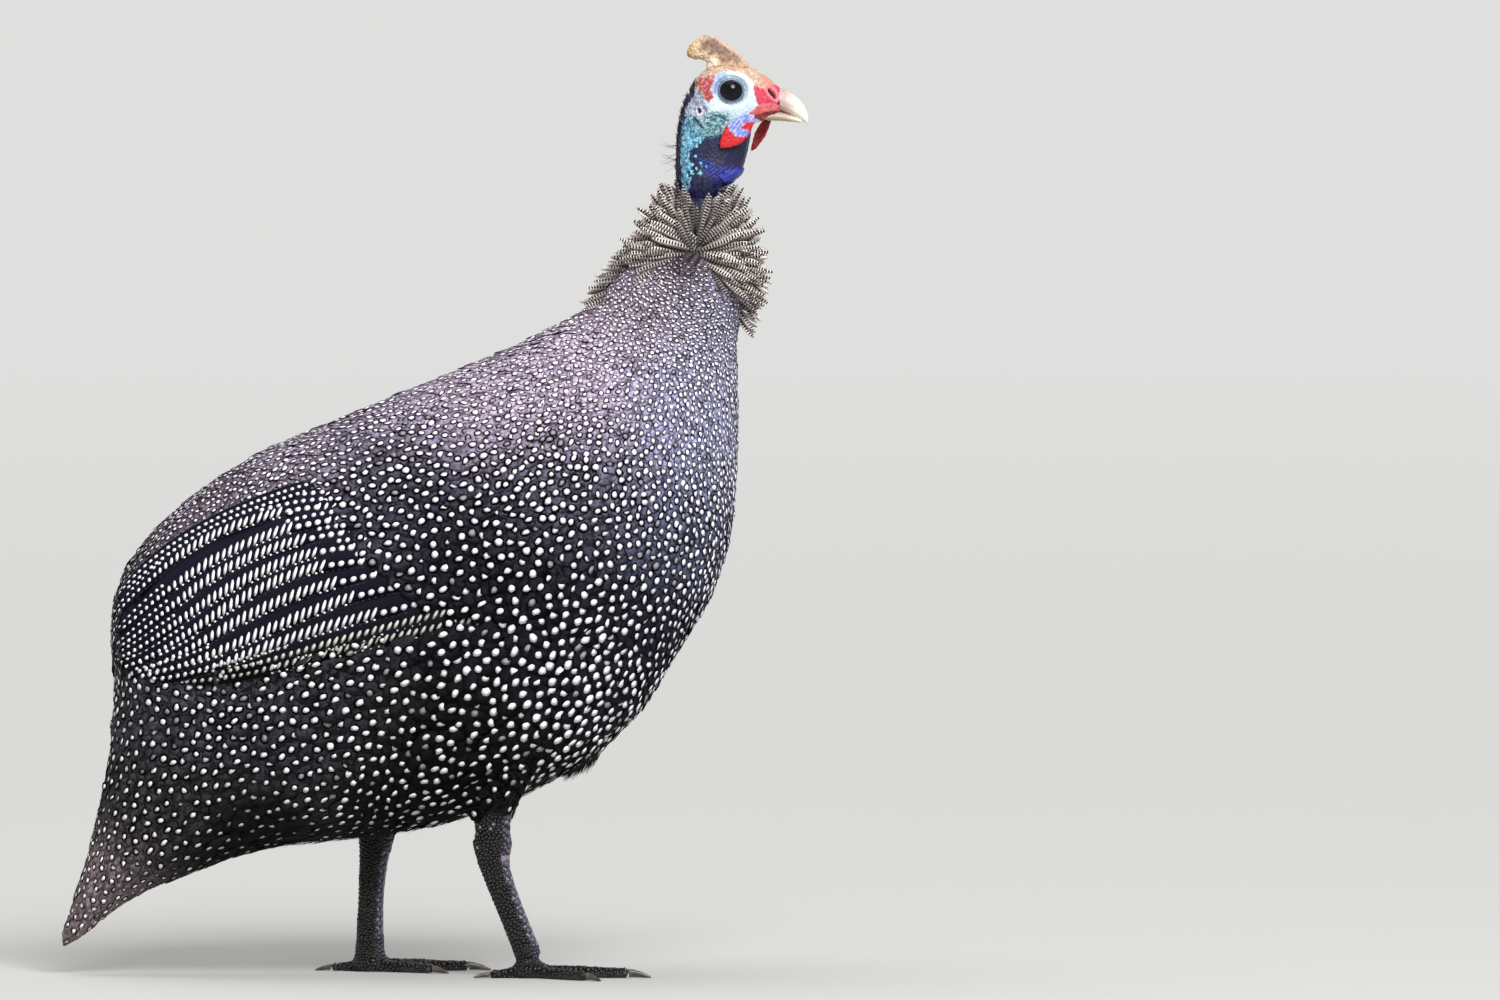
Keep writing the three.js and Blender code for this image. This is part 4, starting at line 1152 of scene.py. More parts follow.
# Long feathers follow paths: stations with a middle, an axis across and a facing direction
class PathVanes:
    """Feathers along paths. middles, across and facing are (feathers, stations, 3), widths
    (feathers, stations), cup how far a vane's edges curve down in mm, uv each feather's place in the map."""

    def __init__(self, middles, across, facing, widths, uv, cup):
        self.middles, self.across, self.facing, self.widths = middles, across, facing, widths
        self.uv, self.cup = uv, cup
        self.lengths_mm = np.linalg.norm(np.diff(middles, axis=1), axis=2).sum(1) / MM

    def at(self, which, along, across, height_mm):
        """Points of vanes: which (n,), along (n, m) 0 to 1, across (n, m) -1 to 1, height (n, m)."""
        stations = self.middles.shape[1]
        place = along.clip(0, 1) * (stations - 1)
        low = np.floor(place).astype(int).clip(0, stations - 2)
        share = (place - low)[..., None]
        row = which[:, None]

        def between(values):
            values = values.reshape(*values.shape[:2], -1)
            return values[row, low] * (1 - share) + values[row, low + 1] * share

        height = (height_mm - self.cup * across**2) * MM
        return (
            between(self.middles)
            + between(self.across) * between(self.widths) * across[..., None] / 2
            + between(self.facing) * height[..., None]
        )

    def add_vanes(self, coat, rings, outline, thick_mm, **attributes):
        """Closes each path into a vane; outline holds pairs of (place along it, share of its width)."""
        shape, faces = vane_template(rings)
        count = len(self.middles)
        along = np.tile(shape[:, 2], (count, 1))
        wide = shape[None, :, 0] * shares(along, *outline)
        points = self.at(np.arange(count), along, wide, 0.5 * thick_mm * shape[None, :, 1])
        local = np.stack([shape[:, 0] * 0.35 + 0.5, shape[:, 2] * 0.7 + 0.15], axis=1)
        coat.add(points, faces, self.uv, local, **attributes)

    def add_marks(self, coat, which, along, across, half_along, half_across, lean, corners, pale, lift=0.18):
        """Lays flat marks on the vanes. Middles, half sizes and lift are in mm, and all but the number
        of corners may differ from mark to mark."""
        which, along, across, half_along, half_across, lean = (
            np.broadcast_to(values, len(pale))[:, None]
            for values in (which, along, across, half_along, half_across, lean)
        )
        shape, faces = rod(corners)
        s = along + shape[None, :, 0] * half_along + lean * shape[None, :, 1] * half_across
        t = across + shape[None, :, 1] * half_across
        which = which[:, 0]
        length = self.lengths_mm[which][:, None]
        stations = np.linspace(0, 1, self.widths.shape[1])
        places = (along / length).clip(0, 1)[:, 0]
        widths = [np.interp(place, stations, self.widths[row]) for place, row in zip(places, which)]
        wide = 2 * t / (np.array(widths)[:, None] / MM)
        points = self.at(which, s / length, wide, lift + 0.06 * shape[None, :, 2])
        coat.add(points, faces, self.uv[which], shape[:, :2] * 0.3 + 0.5, pale=pale)


# The ruff's parting in the side view (x, z in mm)
PARTING = [
    (80, 350), (88, 351), (100, 352), (120, 352), (127, 351), (135, 347), (143, 340), (150, 328), (160, 314),
]


def near_thigh(points, reach_mm, top_mm):
    """Which points lie round the hocks, below a height: the feathers of the thigh end above it."""
    mm = points / MM
    side = [np.hypot(mm[:, 0] - x, mm[:, 1] - y) < reach_mm for x, y, _, _ in THIGH_ENDS_MM]
    wavy = top_mm + 4.5 * (points[:, 0] > 0) + 2.2 * np.sin(points[:, 0] * 900 + points[:, 1] * 700)
    return (side[0] | side[1]) & (points[:, 2] / MM < wavy)


def feathered(points):
    """Where contour feathers grow: from the ruff's parting to the tail and the hocks."""
    x, z = side_mm(points)
    parting = shares(x, *PARTING) - 1
    return (z < parting) & ((z > 70.5) | (x < -70)) & ~near_thigh(points, 17, 77.5)


def spacing(column, share):
    """A share of one of the plumage map's lengths, as a function of place."""
    return lambda points: plumage_at(points)[:, column] * MM * share


def flow_at(values, normals, jitter):
    """The way that feathers point on the skin, each turned a little by chance."""
    flow = np.stack([values[:, HEAD_X], np.zeros(len(values)), values[:, HEAD_Z]], axis=1)
    return tangent(flow + random.normal(0, jitter, flow.shape), normals)


WING_FIELD = [
    (-76, 232), (-99, 226), (-121, 214), (-139, 202), (-147, 196), (-154, 184), (-156, 170), (-154, 158),
    (-148, 149), (-132, 147), (-111, 147), (-82, 152.5), (-48, 158.5), (-20, 164.5), (0, 169), (20, 173),
    (34, 177), (38, 181), (14, 184), (-4, 186), (-12, 192), (-24, 203), (-34, 213), (-46, 224), (-58, 229),
    (-66, 231),
]


def off_wing_field(points, normals, shift=0.0):
    """Which points lie outside the field of long wing feathers, grown by shift in mm."""
    side_view = points[:, [0, 2]] / MM
    return (inside(side_view, WING_FIELD, 0.2, shift) < 0.5) | (np.abs(normals[:, 1]) < 0.25)


def picked(keep, arrays):
    """The entries of several arrays that a mask or index keeps."""
    return [array[keep] for array in arrays]


feathers = surface.scatter(feathered, spacing(WIDTH, 0.52))
feathers = picked(off_wing_field(*feathers[:2]), feathers)
values = plumage_at(feathers[0])
flow = flow_at(values, feathers[1], 0.05)
side_x, side_z = side_mm(feathers[0])
on_tail = (side_x < -118 - 0.25 * (side_z - 100)) & (side_z < 150)
parts = {
    "feathers_breast": side_x > 75,
    "feathers_mantle": (side_x <= 75) & (side_z > 190),
    "feathers_flank": (side_x <= 75) & (side_z <= 190) & ~on_tail,
    "feathers_tail": on_tail,
}
contour_coats = {name: Coat() for name in parts}
for name, chosen in parts.items():
    lay_vanes(contour_coats[name], surface, *picked(chosen, [*feathers, flow, values]))


def tree_of(coats):
    """One search tree over the triangles of several coats."""
    points, faces, before = [], [], 0
    for coat in coats:
        some_points, some_faces = coat.arrays()
        points.append(some_points)
        faces.append(some_faces + before)
        before += len(some_points)
    return BVHTree.FromPolygons(np.concatenate(points).tolist(), np.concatenate(faces).tolist())


contour_tree = tree_of(contour_coats.values())
spread = surface.scatter(feathered, spacing(SPACING, 1.0))
spread = picked(off_wing_field(*spread[:2], -7), spread)
values = plumage_at(spread[0])
spread += [flow_at(values, spread[1], 0.0), values, random.normal(0, 1, (len(values), 3)).clip(-2.4, 2.4)]
spots, rings = Coat(), Coat()
lay_spots(rings, contour_tree, surface, *picked(values[:, RING] > 0.15, spread), "ring", 0.05)
lay_spots(spots, contour_tree, surface, *spread, "spot", 0.13)
vane_finish = plumage_material("contour_feather_keratin")
spot_finish = spot_material("white_feather_spots")

# Folded wing: secondaries along rows of slanted white bars, the inner ones lying over the outer
WING_ROWS = [
    # each row runs from under the coverts to the wing tip (x, z in mm)
    [(-56, 239.5), (-79.3, 231), (-99.4, 223.2), (-121, 210.2), (-137.5, 198), (-149, 185)],
    [(-45, 230.5), (-75.7, 225.2), (-96.2, 218.7), (-117.4, 206.5), (-136.1, 192.1), (-149.5, 175.4)],
    [(-40, 225), (-68.5, 218.7), (-85.7, 213), (-106.6, 202), (-128.5, 187.2), (-149.2, 166.1)],
    [(-34, 219), (-64.9, 213.2), (-87.9, 204.8), (-110.9, 191.8), (-131, 176.4), (-150.5, 158.6)],
    [(-29, 212), (-60.6, 207), (-83.6, 197.4), (-107.3, 184.6), (-128.9, 169.2), (-151.6, 153.9)],
    [(-24, 205), (-57, 200.8), (-80, 191.5), (-102.3, 179.3), (-121, 166.4), (-149.7, 150.5)],
    [(-18, 200), (-49.1, 193.5), (-72.1, 185), (-93.6, 175), (-116.6, 161.7), (-146.5, 148.8)],
    [(-9, 194), (-40.5, 186.5), (-66.1, 176.9), (-92.4, 164.8), (-117.4, 155.1), (-143.6, 147.5)],
    [(2, 187.5), (-30, 178.5), (-58.1, 170.9), (-86.2, 160.1), (-111.6, 151.8), (-138.5, 146.8)],
    [(36, 184.5), (8, 180.5), (-18, 173.5), (-46, 166.5), (-76, 157.5), (-104, 150)],
    [(30, 179), (-4, 171.5), (-32, 164.5), (-62.1, 157.4), (-90, 150.3), (-124.1, 146)],
]
WING_STATIONS = 18
WING_WIDTH_MM = 14.0
MARK_PITCH_MM = 3.9
DOT_ROW_MM = (10.0, 30.0)
DOT_PITCH_MM = 5.3
UPPER_DOTS = [
    # more dots towards the wing's upper edge: row, how far across its vane, how far along it (mm)
    (1, -0.5, 44), (1, -4.2, 18), (2, -0.5, 36), (3, -0.3, 26), (4, -0.2, 18), (5, -0.2, 16),
]


def wing_paths(sign):
    """The vanes of one folded wing, a row each, laid on the trunk's side and stacked from the lowest up."""
    middles, directions = [], []
    for number, row in enumerate(WING_ROWS):
        line = np.array(row, float)
        reach = np.concatenate([[0], np.cumsum(np.linalg.norm(np.diff(line, axis=0), axis=1))])
        bends = [np.polyfit(reach, line[:, axis], 4) for axis in (0, 1)]
        at = np.linspace(0, reach[-1], WING_STATIONS)
        path = np.stack([np.polyval(bend, at) for bend in bends], axis=1)
        heading = unit(np.gradient(path, axis=0))
        up = np.stack([-heading[:, 1], heading[:, 0]], axis=1)
        up *= np.sign(up[:, 1:2])
        path = path + (3.7 if number else 1.4) * up
        middles.append(path)
        directions.append(heading)
    middles, directions = np.array(middles), np.array(directions)
    found = []
    for x, z in middles.reshape(-1, 2) * MM:
        hit = surface.tree.ray_cast(Vector((x, sign * 0.2, z)), Vector((0, -sign, 0)))[0]
        found.append(hit or surface.tree.find_nearest(Vector((x, sign * 0.02, z)))[0])
    places, facing, index = surface.drop(np.array(found))
    shape = middles.shape[:2]
    places, facing = places.reshape(*shape, 3), facing.reshape(*shape, 3)
    for _ in range(3):
        facing[:, 1:-1] = (facing[:, :-2] + facing[:, 1:-1] + facing[:, 2:]) / 3
    facing = unit(facing)
    ahead = np.stack([directions[..., 0], np.zeros(shape), directions[..., 1]], axis=-1)
    ahead = unit(ahead - facing * (ahead * facing).sum(2, keepdims=True))
    across = np.cross(facing, ahead)
    stack = (len(WING_ROWS) - 1 - np.arange(len(WING_ROWS)))[:, None] * 0.13
    base = shares(middles[..., 0], (-60, 2.6), (-20, 2.0), (40, 1.2))
    tucked = shares(np.linspace(0, 1, WING_STATIONS), (0, 1.2), (0.07, 0))
    height = (base + stack - tucked[None]) * MM
    widths = np.full(shape, WING_WIDTH_MM * MM)
    widths[0] *= 0.62
    uv = uv_at(surface, index.reshape(shape)[:, WING_STATIONS // 2])
    return PathVanes(places + facing * height[..., None], across, facing, widths, uv, 0.35)


def mark_row(vanes, number, down):
    """The white bars and dots along one row: across is measured towards the vane's lower edge."""
    length = vanes.lengths_mm[number]
    yellow = number >= len(WING_ROWS) - 2
    # Marks on the lowest rows are painted darker: painted shade on the wing's lower part
    shade = shares(number, (0, 1), (7, 0.97), (9, 0.75), (10, 0.66))
    white = np.array(linear(0xF2F1FA)) * shade
    if yellow:
        white = 0.5 * white + 0.5 * np.array(linear(0xC4C69A)) * shade

    def mark(at, across, half_along, half_across, lean=0.0, corners=9):
        colour = (white * random.normal(1, 0.05, (len(at), 1))).clip(0, 0.9)
        at = at + random.normal(0, 0.12, len(at))
        half_across = half_across * random.normal(1, 0.06, len(at))
        vanes.add_marks(
            wing_marks, number, at, down * across, half_along, half_across, lean * down, corners, colour
        )

    if number == 0:
        at = np.arange(2.0, length - 2.5, MARK_PITCH_MM)
        mark(at, 2.6, 1.15, 1.0)
        mark(at + 0.5 * MARK_PITCH_MM, -1.0, 1.15, 1.0)
        return
    first, last = (2.0, 2.0) if yellow else DOT_ROW_MM
    for row, across, until in UPPER_DOTS:
        if row == number:
            mark(np.arange(3.0 - across, until, DOT_PITCH_MM - 0.6), across, 1.35, 1.15, 0.2)
    mark(np.arange(2.0, first, MARK_PITCH_MM), 3.4, 1.0, 1.9, 0.5)
    mark(np.arange(first + 1, last, DOT_PITCH_MM), 3.6, 1.85, 1.45, 0.2)
    at = np.arange(last + 2, length - 2.5, MARK_PITCH_MM)
    ending = smoothstep(at / length, 0.55, 0.88)
    across, half_along, half_across, lean = (
        shares(ending, (0, bar), (1, dot))
        for bar, dot in ((3.1, 3.6), (1.15, 1.05), (1.9 if yellow else 2.75, 1.1), (0.75, 0.3))
    )
    mark(at, across, half_along, half_across, lean)
    tips = at[(random.random(len(at)) < 0.75) & (ending < 0.5)]
    mark(tips + 0.6, 6.1, 0.75, 0.6, corners=7)
    mark(at[ending >= 0.5] + 1.9, -0.4, 1.0, 0.85, corners=7)


wing_coat, wing_marks = Coat(), Coat()
for sign in SIDES.values():
    vanes = wing_paths(sign)
    down = -sign
    count = len(WING_ROWS)
    depth = (np.arange(count) / (count - 1))[:, None]
    ground = flat(0x0F0E1F, count) * (1 - depth) + flat(0x08080F, count) * depth
    vanes.add_vanes(
        wing_coat, 24, ((0, 0.5), (0.08, 1), (0.9, 0.95), (0.97, 0.7), (1, 0.3)), 0.35,
        net=np.full(count, 0.03), ground=ground, pale=flat(0x5A5668, count),
    )
    for number in range(count):
        mark_row(vanes, number, down)
    # Grey fringes at the vanes' lower edges and along the wing's upper edge
    for number in range(1, count - 2):
        at = np.arange(3.0, vanes.lengths_mm[number] - 6, 3.4)
        half_along = 1.6 * random.normal(1, 0.2, len(at))
        grey = flat(0x4A4664, len(at)) * random.normal(1, 0.2, (len(at), 1)).clip(0.5, 1.5)
        vanes.add_marks(wing_marks, number, at, down * 6.5, half_along, 0.13, 0, 4, grey)
    at = np.arange(1.0, vanes.lengths_mm[0] - 4, 2.4)
    vanes.add_marks(wing_marks, 0, at, -down * 4.1, 1.35, 0.14, 0, 6, flat(0x70708C, len(at)))
secondary_finish = plumage_material("flight_feather_keratin")
coat_piece("feathers_wing", wing_coat, secondary_finish)
coat_piece("wing_bars", wing_marks, spot_finish)

# Ruff: narrow barred feathers that radiate from a parting on each side of the neck
PARTING_MM = np.array((126.9, 353.9))
ruff_tree = tree_of_node("neck_lower")


def ruffed(points):
    """Where the ruff's feathers grow: above the parting, but not on the bare wedges."""
    x, z = side_mm(points)
    return (z > shares(x, *PARTING)) & (z < 385) & (x > 85) & (x < 160) & ~in_vee(points)


STRAYS_MM = [
    (101, 349), (99, 346), (97, 342), (95, 338), (93, 334), (91, 330), (89, 327), (150, 326), (152, 322),
    (119, 371), (118, 373), (117, 375), (119, 375), (139, 371), (141, 373), (142, 376), (140, 375),
]
STRANDS = [
    # long feathers that lie across the parting: root (x, z in mm), heading, length in mm
    ((131, 355), (-0.93, 0.36), 31), ((130, 353.6), (-0.95, 0.3), 27), ((132, 356.4), (-0.9, 0.44), 29),
    ((129, 352.6), (-0.97, 0.22), 24), ((128.6, 353.4), (0.9, -0.43), 22),
    ((129.6, 354.6), (0.93, -0.36), 20), ((127.4, 352.4), (0.87, -0.5), 19),
]
LOCK_ANGLE = 0.34
RUFF_STATIONS = 7
BAR_PITCH_MM = 1.5


def apart(gap_mm):
    """The same spacing everywhere."""
    return lambda places: np.full(len(places), gap_mm * MM)


grown = surface.scatter(ruffed, apart(2.0), 6)
strays = [(x, side * reach, z) for x, z in STRAYS_MM for side in (-1, 1) for reach in (3, 9)]
strays += [(x, side * 14, z) for (x, z), _, _ in STRANDS for side in (-1, 1)]
extra = surface.drop(np.array(strays, float) * MM)
ruff_points, ruff_normals, ruff_found = (np.concatenate(both) for both in zip(grown, extra))
count = len(ruff_points)
from_parting = ruff_points[:, [0, 2]] / MM - PARTING_MM
radial = unit(from_parting)
way = np.stack([radial[:, 0], 0.25 * np.sign(ruff_points[:, 1]), radial[:, 1] + 0.12], axis=1)
# Feathers are drawn together into locks
angle = np.arctan2(radial[:, 1], radial[:, 0]) + np.where(ruff_points[:, 1] > 0, 0.15, 0.0)
from_lock = (angle / LOCK_ANGLE) - np.round(angle / LOCK_ANGLE)
pull = -0.55 * LOCK_ANGLE * from_lock
way[:, [0, 2]] += np.stack([-radial[:, 1], radial[:, 0]], axis=1) * pull[:, None]
way += random.normal(0, 0.13, way.shape)
reach = np.linalg.norm(from_parting, axis=1)
stand = (0.08 + 0.26 * smoothstep(reach, 4, 22) + 0.08 * random.random(count))[:, None]
way = unit(way - 0.35 * (way * ruff_normals).sum(1, keepdims=True) * ruff_normals + stand * ruff_normals)
# Each feather ends where its way leaves the ruff's outline
lengths = []
for point, direction in zip(ruff_points, way):
    hit, _, _, gap = ruff_tree.ray_cast(Vector(point + 0.0005 * direction), Vector(direction))
    lengths.append(gap if hit is not None else 0.012)
lengths = np.array(lengths) + random.uniform(-0.002, 0.006, count) + 0.003 * (1 - 4 * np.abs(from_lock))
lengths = (lengths * shares(ruff_points[:, 2] / MM, (366, 1.0), (384, 0.7))).clip(0.006, 0.027)
lengths[-len(strays):] = np.maximum(lengths[-len(strays):], 0.014)
crossing = slice(count - 2 * len(STRANDS), count)
heading = np.array([(x, 0, z) for _, (x, z), _ in STRANDS for _ in SIDES])
heading = heading + random.normal(0, 0.05, heading.shape)
way[crossing] = unit(tangent(heading, ruff_normals[crossing]) + 0.26 * ruff_normals[crossing])
lengths[crossing] = [length * MM for _, _, length in STRANDS for _ in SIDES]
along = np.linspace(0, 1, RUFF_STATIONS)
bend = (0.05 + 0.1 * random.random(count)) * lengths
middles = moved_along(
    ruff_points, (way, along[None] * lengths[:, None]), (ruff_normals, -(bend[:, None] * along[None] ** 2))
)
sideward = np.stack([np.zeros(count), np.sign(ruff_points[:, 1]), np.zeros(count)], axis=1)
outward = ruff_normals + 0.7 * sideward
outward = unit(outward - (outward * way).sum(1, keepdims=True) * way)
high = smoothstep(ruff_points[:, 2] / MM, 372, 382)
widths = random.normal(3.0, 0.35, count) * (1 - 0.35 * high) * MM
frames = (np.cross(outward, way), outward, widths)
frames = [np.repeat(values[:, None], RUFF_STATIONS, axis=1) for values in frames]
ruff = PathVanes(middles, *frames, uv_at(surface, ruff_found), 0.25)
ruff_coat, ruff_bars = Coat(), Coat()
dark = mix(0x1A1416, 0x101024, high)
shade = random.normal(0.86, 0.26, (count, 1)).clip(0.3, 1.15)
from_middle, height = ruff_points[:, 0] / MM - 128, ruff_points[:, 2] / MM
shade *= (1 - 0.5 * np.exp(-((from_middle / 8) ** 2)) * smoothstep(height, 352, 362))[:, None]
# Feathers in the gaps between locks are painted darker: painted shade between the locks
shade *= (1 - 0.35 * (np.abs(from_lock) > 0.36))[:, None]
shade[crossing] = random.normal(1.15, 0.06, (2 * len(STRANDS), 1))
pale = mix(0xDDD2CC, 0x5C5A78, 0.7 * high) * shade
vane_along = vane_template(RUFF_STATIONS)[0][:, 2]
# Each vane's ground is painted darker towards its root: painted shade where the roots lie under other
# feathers
root_painted_shade = shares(vane_along, (0, 0.25), (0.3, 0.6), (0.7, 1), (1, 1.15))
ruff.add_vanes(
    ruff_coat, RUFF_STATIONS, ((0, 0.45), (0.25, 0.85), (0.7, 1), (0.9, 0.72), (1, 0.22)), 0.3,
    net=np.zeros(count), ground=pale[:, None] * root_painted_shade[None, :, None], pale=pale,
)
bar_which, bar_at = [], []
for number, length in enumerate(lengths / MM):
    at = np.arange(length * 0.07, length - 0.2, BAR_PITCH_MM)
    bar_which += [number] * len(at)
    bar_at += list(at + random.uniform(-0.2, 0.2))
bar_which, bar_at = np.array(bar_which), np.array(bar_at)
half_across = shares(
    bar_at / (lengths[bar_which] / MM),
    (0, 0.6), (0.12, 1.15), (0.3, 1.35), (0.75, 1.4), (0.92, 0.9), (1, 0.4),
)
ruff.add_marks(ruff_bars, bar_which, bar_at, 0.0, 0.58, half_across, 0, 4, dark[bar_which], lift=0.16)
ruff_finish = plumage_material("ruff_feather_keratin")
coat_piece("feathers_ruff", ruff_coat, ruff_finish)
coat_piece("ruff_bars", ruff_bars, spot_finish)


# Bristles on nape and neck, and a few long thin filoplumes behind the neck
def lay_hairs(coat, spread, directions, low_mm, high_mm, thick_mm, colour):
    """Lays one tapering hair at each point, which droops a little towards the skin. spread holds the
    points, their normals and triangles."""
    points, normals, found = spread
    length = random.uniform(low_mm, high_mm, len(points))[:, None] * MM
    shape, faces = rod(3, 0.12, 2)
    aside = np.cross(directions, normals)
    aside /= np.linalg.norm(aside, axis=1, keepdims=True) + 1e-9
    over = np.cross(aside, directions)
    z = shape[None, :, 2]
    spine = moved_along(points, (directions, z * length), (normals, -0.15 * z**2 * length))
    across = aside[:, None] * shape[None, :, 0:1] + over[:, None] * shape[None, :, 1:2]
    local = np.stack([shape[:, 0] * 0.3 + 0.5, shape[:, 2]], axis=1)
    colour = flat(colour, len(points)) if isinstance(colour, int) else colour
    coat.add(spine + across * thick_mm * MM / 2, faces, uv_at(surface, found), local, paint=colour)


def hair_ways(way, jitter, stand, spread):
    """Directions along the skin near way, lifted off it by a share."""
    points, normals, _ = spread
    return unit(tangent(np.array(way) + random.normal(0, jitter, points.shape), normals) + stand * normals)


bristles = Coat()
PLUMES = 16


def on_nape(points):
    x, z = side_mm(points)
    back_edge = shares(
        z, (384, 122), (395, 121.5), (404, 121), (415, 122),
        (421, 123.5), (425, 124.5), (432, 128), (437, 129),
    )
    return (z > 384) & (z < 437.5) & (x < back_edge)


def on_collar(points):
    z = points[:, 2] / MM
    return ((z > 380) & (z < 388.5)) | (in_vee(points) & (z < 388.5))


for where, gap, low, high, way, stand, tones in (
    (on_nape, 0.95, 1.4, 3.8, (-0.55, 0.0, 0.62), 0.32, (0x1A1424, 0x6A6284)),
    (on_collar, 0.9, 1.2, 2.6, (0.0, 0.0, 1.0), 0.18, (0x14142E, 0x4A4C7C)),
):
    spread = surface.scatter(where, apart(gap), 4)
    directions = hair_ways(way, 0.25, stand, spread)
    shade = (random.random(len(directions)) < 0.22).astype(float)
    lay_hairs(bristles, spread, directions, low, high, 0.36, mix(*tones, shade))
across, up = random.uniform(-0.006, 0.006, PLUMES), random.uniform(0.391, 0.409, PLUMES)
spread = surface.drop(np.stack([np.full(PLUMES, 0.1), across, up], axis=1))
across, up = random.normal(0, 0.15, PLUMES), random.normal(0, 0.3, PLUMES)
directions = unit(np.stack([np.full(PLUMES, -1.0), across, up], axis=1))
lay_hairs(bristles, spread, directions, 7, 12, 0.22, 0x4C4A48)


def on_belly_edge(points):
    x, z = side_mm(points)
    lower = shares(x, (-110, 66), (-60, 74), (-20, 76), (20, 84), (50, 94), (80, 112))
    return (x > -120) & (x < 88) & (z < lower + 4) & (z > 60) & ~near_thigh(points, 14, 80)


def on_tuft(points):
    """The lower end of the breast, where a loose tuft hangs over the thigh."""
    x, z = side_mm(points)
    return (np.abs(x - 76) < 7) & (np.abs(z - 100) < 18) & (np.abs(points[:, 1]) < 0.02)


fluff = Coat()
spread = surface.scatter(on_belly_edge, apart(2.6), 3)
lay_hairs(fluff, spread, hair_ways((-0.8, 0.0, -0.35), 0.25, 0.35, spread), 9, 17, 0.5, 0x0A0A0B)
spread = surface.scatter(on_tuft, apart(1.6), 3)
points, normals, _ = spread
directions = tangent(np.array((-0.85, 0.0, -0.5)) + random.normal(0, 0.2, points.shape), normals)
directions += (0.62 + 0.16 * random.random((len(points), 1))) * normals
lay_hairs(fluff, spread, unit(directions), 9, 15, 0.7, 0x0A0A0B)
bristle_finish = painted_material("black_bristle_keratin", 0.55, 1.0, 0.0, 0.1, Specular_IOR_Level=0.25)
coat_piece("neck_bristles", bristles, bristle_finish)
coat_piece("belly_fluff", fluff, bristle_finish)


# Leg scales: small plates all round the shank, larger ones down its front and over the toes
def on_legs(points):
    x, z = side_mm(points)
    return ((z < 66) & (z > 1.6) & (x > -68)) | near_thigh(points, 15, 80)


def plate_gap(points):
    """Plates are larger down the shank's front and over the toes, and smaller round the ankle."""
    _, normals, _ = surface.drop(points)
    _, z = side_mm(points)
    front = smoothstep(normals[:, 0], 0.35, 0.75) * smoothstep(z, 8, 14)
    toes = 1 - smoothstep(z, 7, 10)
    gap = 2.0 + 1.7 * np.maximum(front, 0.6 * toes * (normals[:, 2] > 0.5))
    return np.where(np.abs(z - 10.5) < 4.5, 1.6, gap) * MM


spread = surface.scatter(on_legs, plate_gap, 8)
points, normals, found = picked(~on_leg_front(*spread[:2], 17, 60), spread)
gaps = plate_gap(points) / MM
shape, faces = rod(6)
on_toes = points[:, 2:] < 0.009
down_leg = tangent(np.array((0.12, 0.0, -1.0)) + on_toes * np.array((1.5, 0, 0.9)), normals)
aside = np.cross(down_leg, normals)
wide = (0.62 * gaps * random.normal(1, 0.06, len(gaps)))[:, None]
plates = (
    points[:, None]
    + aside[:, None] * (shape[None, :, 0] * wide)[..., None] * MM
    - down_leg[:, None] * (shape[None, :, 1] * wide * 0.95)[..., None] * MM
    + normals[:, None] * ((0.05 + 0.42 * shape[None, :, 2]) * np.ones_like(wide))[..., None] * MM
)
scales = Coat()
front = smoothstep(normals[:, 0], 0.1, 0.7)
tone = mix(0x171414, 0x4C4654, 0.9 * front)
tone = mix(tone, 0x8A8680, (random.random(len(points)) < 0.14 * smoothstep(points[:, 2] / MM, 60, 74)) * 0.7)
tone *= random.normal(1, 0.14, (len(points), 1))
scales.add(plates, faces, uv_at(surface, found), shape[:, :2] * 0.3 + 0.5, paint=tone.clip(0, 1))


SCUTE_PITCH_MM = 4.6
SCUTE_ANGLE = 31.0
SHANK_RADIUS_MM = 6.5


def lay_scutes(coat, sign, shank):
    """Two staggered columns of broad scutes down the front of one shank; their gaps make the zigzag."""
    shape, faces = rod(6)
    z = np.arange(19.0, 59.0, SCUTE_PITCH_MM)
    for column in (-1, 1):
        heights = z + (0.25 + 0.25 * column) * SCUTE_PITCH_MM
        front = np.stack([np.interp(heights, *shank) + 40, np.full(len(z), sign * 27.0), heights], axis=1)
        backwards = Vector((-1, 0, 0))
        places = np.array([surface.tree.ray_cast(Vector(place) * MM, backwards)[0] for place in front])
        turn = column * math.radians(SCUTE_ANGLE)
        middles = places + np.array((math.cos(turn) - 1, math.sin(turn), 0)) * SHANK_RADIUS_MM * MM
        middles, facing, index = surface.drop(middles)
        down = tangent(np.array([(0.1, 0.0, -1.0)]), facing)
        aside = np.cross(down, facing)
        half_wide, half_long = 3.1 * MM, 0.57 * SCUTE_PITCH_MM * MM
        level = moved_along(
            middles, (aside, shape[None, :, 0] * half_wide), (down, shape[None, :, 1] * half_long)
        )
        laid, out, _ = surface.drop(level)
        rise = (0.08 + 0.45 * shape[None, :, 2]) * np.ones((len(z), 1))
        raised = laid.reshape(level.shape) + out.reshape(level.shape) * rise[..., None] * MM
        tone = flat(0x4A4556, len(z)) * random.normal(1, 0.1, (len(z), 1))
        coat.add(raised, faces, uv_at(surface, index), shape[:, :2] * 0.3 + 0.5, paint=tone)


lay_scutes(scales, -1, ([10, 72], [50, 28]))
lay_scutes(scales, 1, ([10, 77], [-28, -28]))
scale_finish = painted_material("leg_scale_keratin", 0.42, 0.6, 0.05, 0.2, Specular_IOR_Level=0.5)
coat_piece("leg_scales", scales, scale_finish)

for name, coat in contour_coats.items():
    coat_piece(name, coat, vane_finish)
coat_piece("feather_rings", rings, vane_finish)
coat_piece("feather_spots", spots, spot_finish)

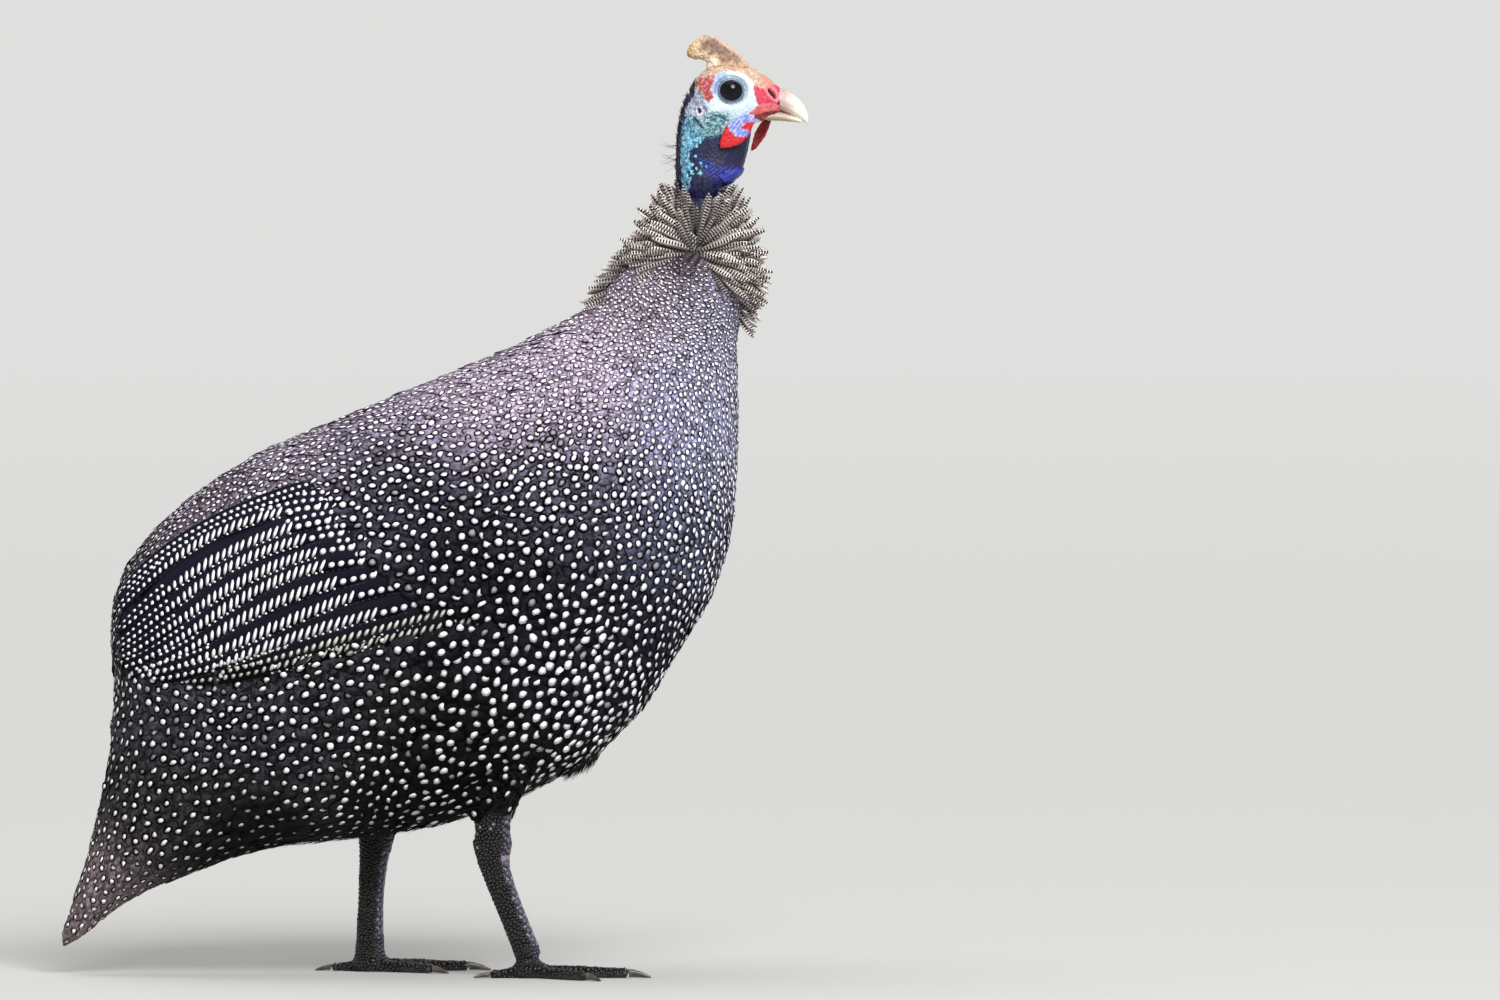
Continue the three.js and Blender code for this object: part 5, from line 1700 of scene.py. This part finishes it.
# Floor, light and camera
WORLD_AT_HORIZON = 0.84
WORLD_OVERHEAD = 0.55
BACKDROP_HEX = 0xF1F1F0
floor_form = bmesh.new()
bmesh.ops.create_circle(floor_form, cap_ends=True, segments=64, radius=30)
floor_mesh = mesh_of(floor_form, "floor")
floor = add_object("floor", floor_mesh)
floor_finish, floor_shader = material("pale_studio_floor", 0xB6B6B4, 0.95, Specular_IOR_Level=0.0)
where = node(floor_finish, "TexCoord").outputs["Object"]
away = node(floor_finish, "VectorMath", {"operation": "LENGTH"}, i0=where).outputs["Value"]
far = node(floor_finish, "MapRange", SMOOTHSTEP, Value=away, From_Min=1.5, From_Max=14.0)
glow = node(floor_finish, "Emission", Color=rgba(BACKDROP_HEX), Strength=WORLD_AT_HORIZON)
blend = node(floor_finish, "MixShader", Fac=far, i1=floor_shader, i2=glow)
feed(floor_finish, floor_finish.node_tree.nodes["Material Output"], Surface=blend)
floor_mesh.materials.append(floor_finish)


def add_lamp(name, kind, strength, toward, place=(0, 0, 0), **settings):
    lamp = bpy.data.lights.new(name, kind)
    lamp.energy = strength
    for key, value in settings.items():
        setattr(lamp, key, value)
    add_object(name, lamp, place, toward)


# Soft suns light the floor evenly, and a small softbox gives the eye its glint
add_lamp("key", "SUN", 3.2, (-0.3, 0.95, -0.75), angle=math.radians(35))
add_lamp("top", "SUN", 1.2, (0.25, -0.1, -1.0), angle=math.radians(60))
GLINT_PLACE, GLINT_AIM = Vector((0.55, -1.3, 1.2)), Vector((0.14, 0, 0.42))
add_lamp("eye light", "AREA", 7.0, GLINT_AIM - GLINT_PLACE, GLINT_PLACE, size=0.4)
world = bpy.data.worlds.new("studio")
world.use_nodes = True
height = node(world, "SeparateXYZ", i0=node(world, "TexCoord").outputs["Generated"]).outputs["Z"]
level = node(
    world, "MapRange", Value=height, From_Min=0.02, From_Max=0.5,
    To_Min=WORLD_AT_HORIZON, To_Max=WORLD_OVERHEAD,
)
feed(world, world.node_tree.nodes["Background"], Color=rgba(BACKDROP_HEX), Strength=level)
bpy.context.scene.world = world
bpy.context.scene.view_settings.view_transform = "Standard"

distance = IMAGE_WIDTH_MM * MM * LENS_MM / SENSOR_MM
drop = math.radians(CAMERA_DROP_DEGREES)
aim = Vector(AIM_MM) * MM
camera_data = bpy.data.cameras.new("camera")
camera_data.lens = LENS_MM
camera_data.sensor_width = SENSOR_MM
camera_data.clip_end = 100
place = aim + Vector((0, -math.cos(drop), math.sin(drop))) * distance
bpy.context.scene.camera = add_object("camera", camera_data, place, aim - place)
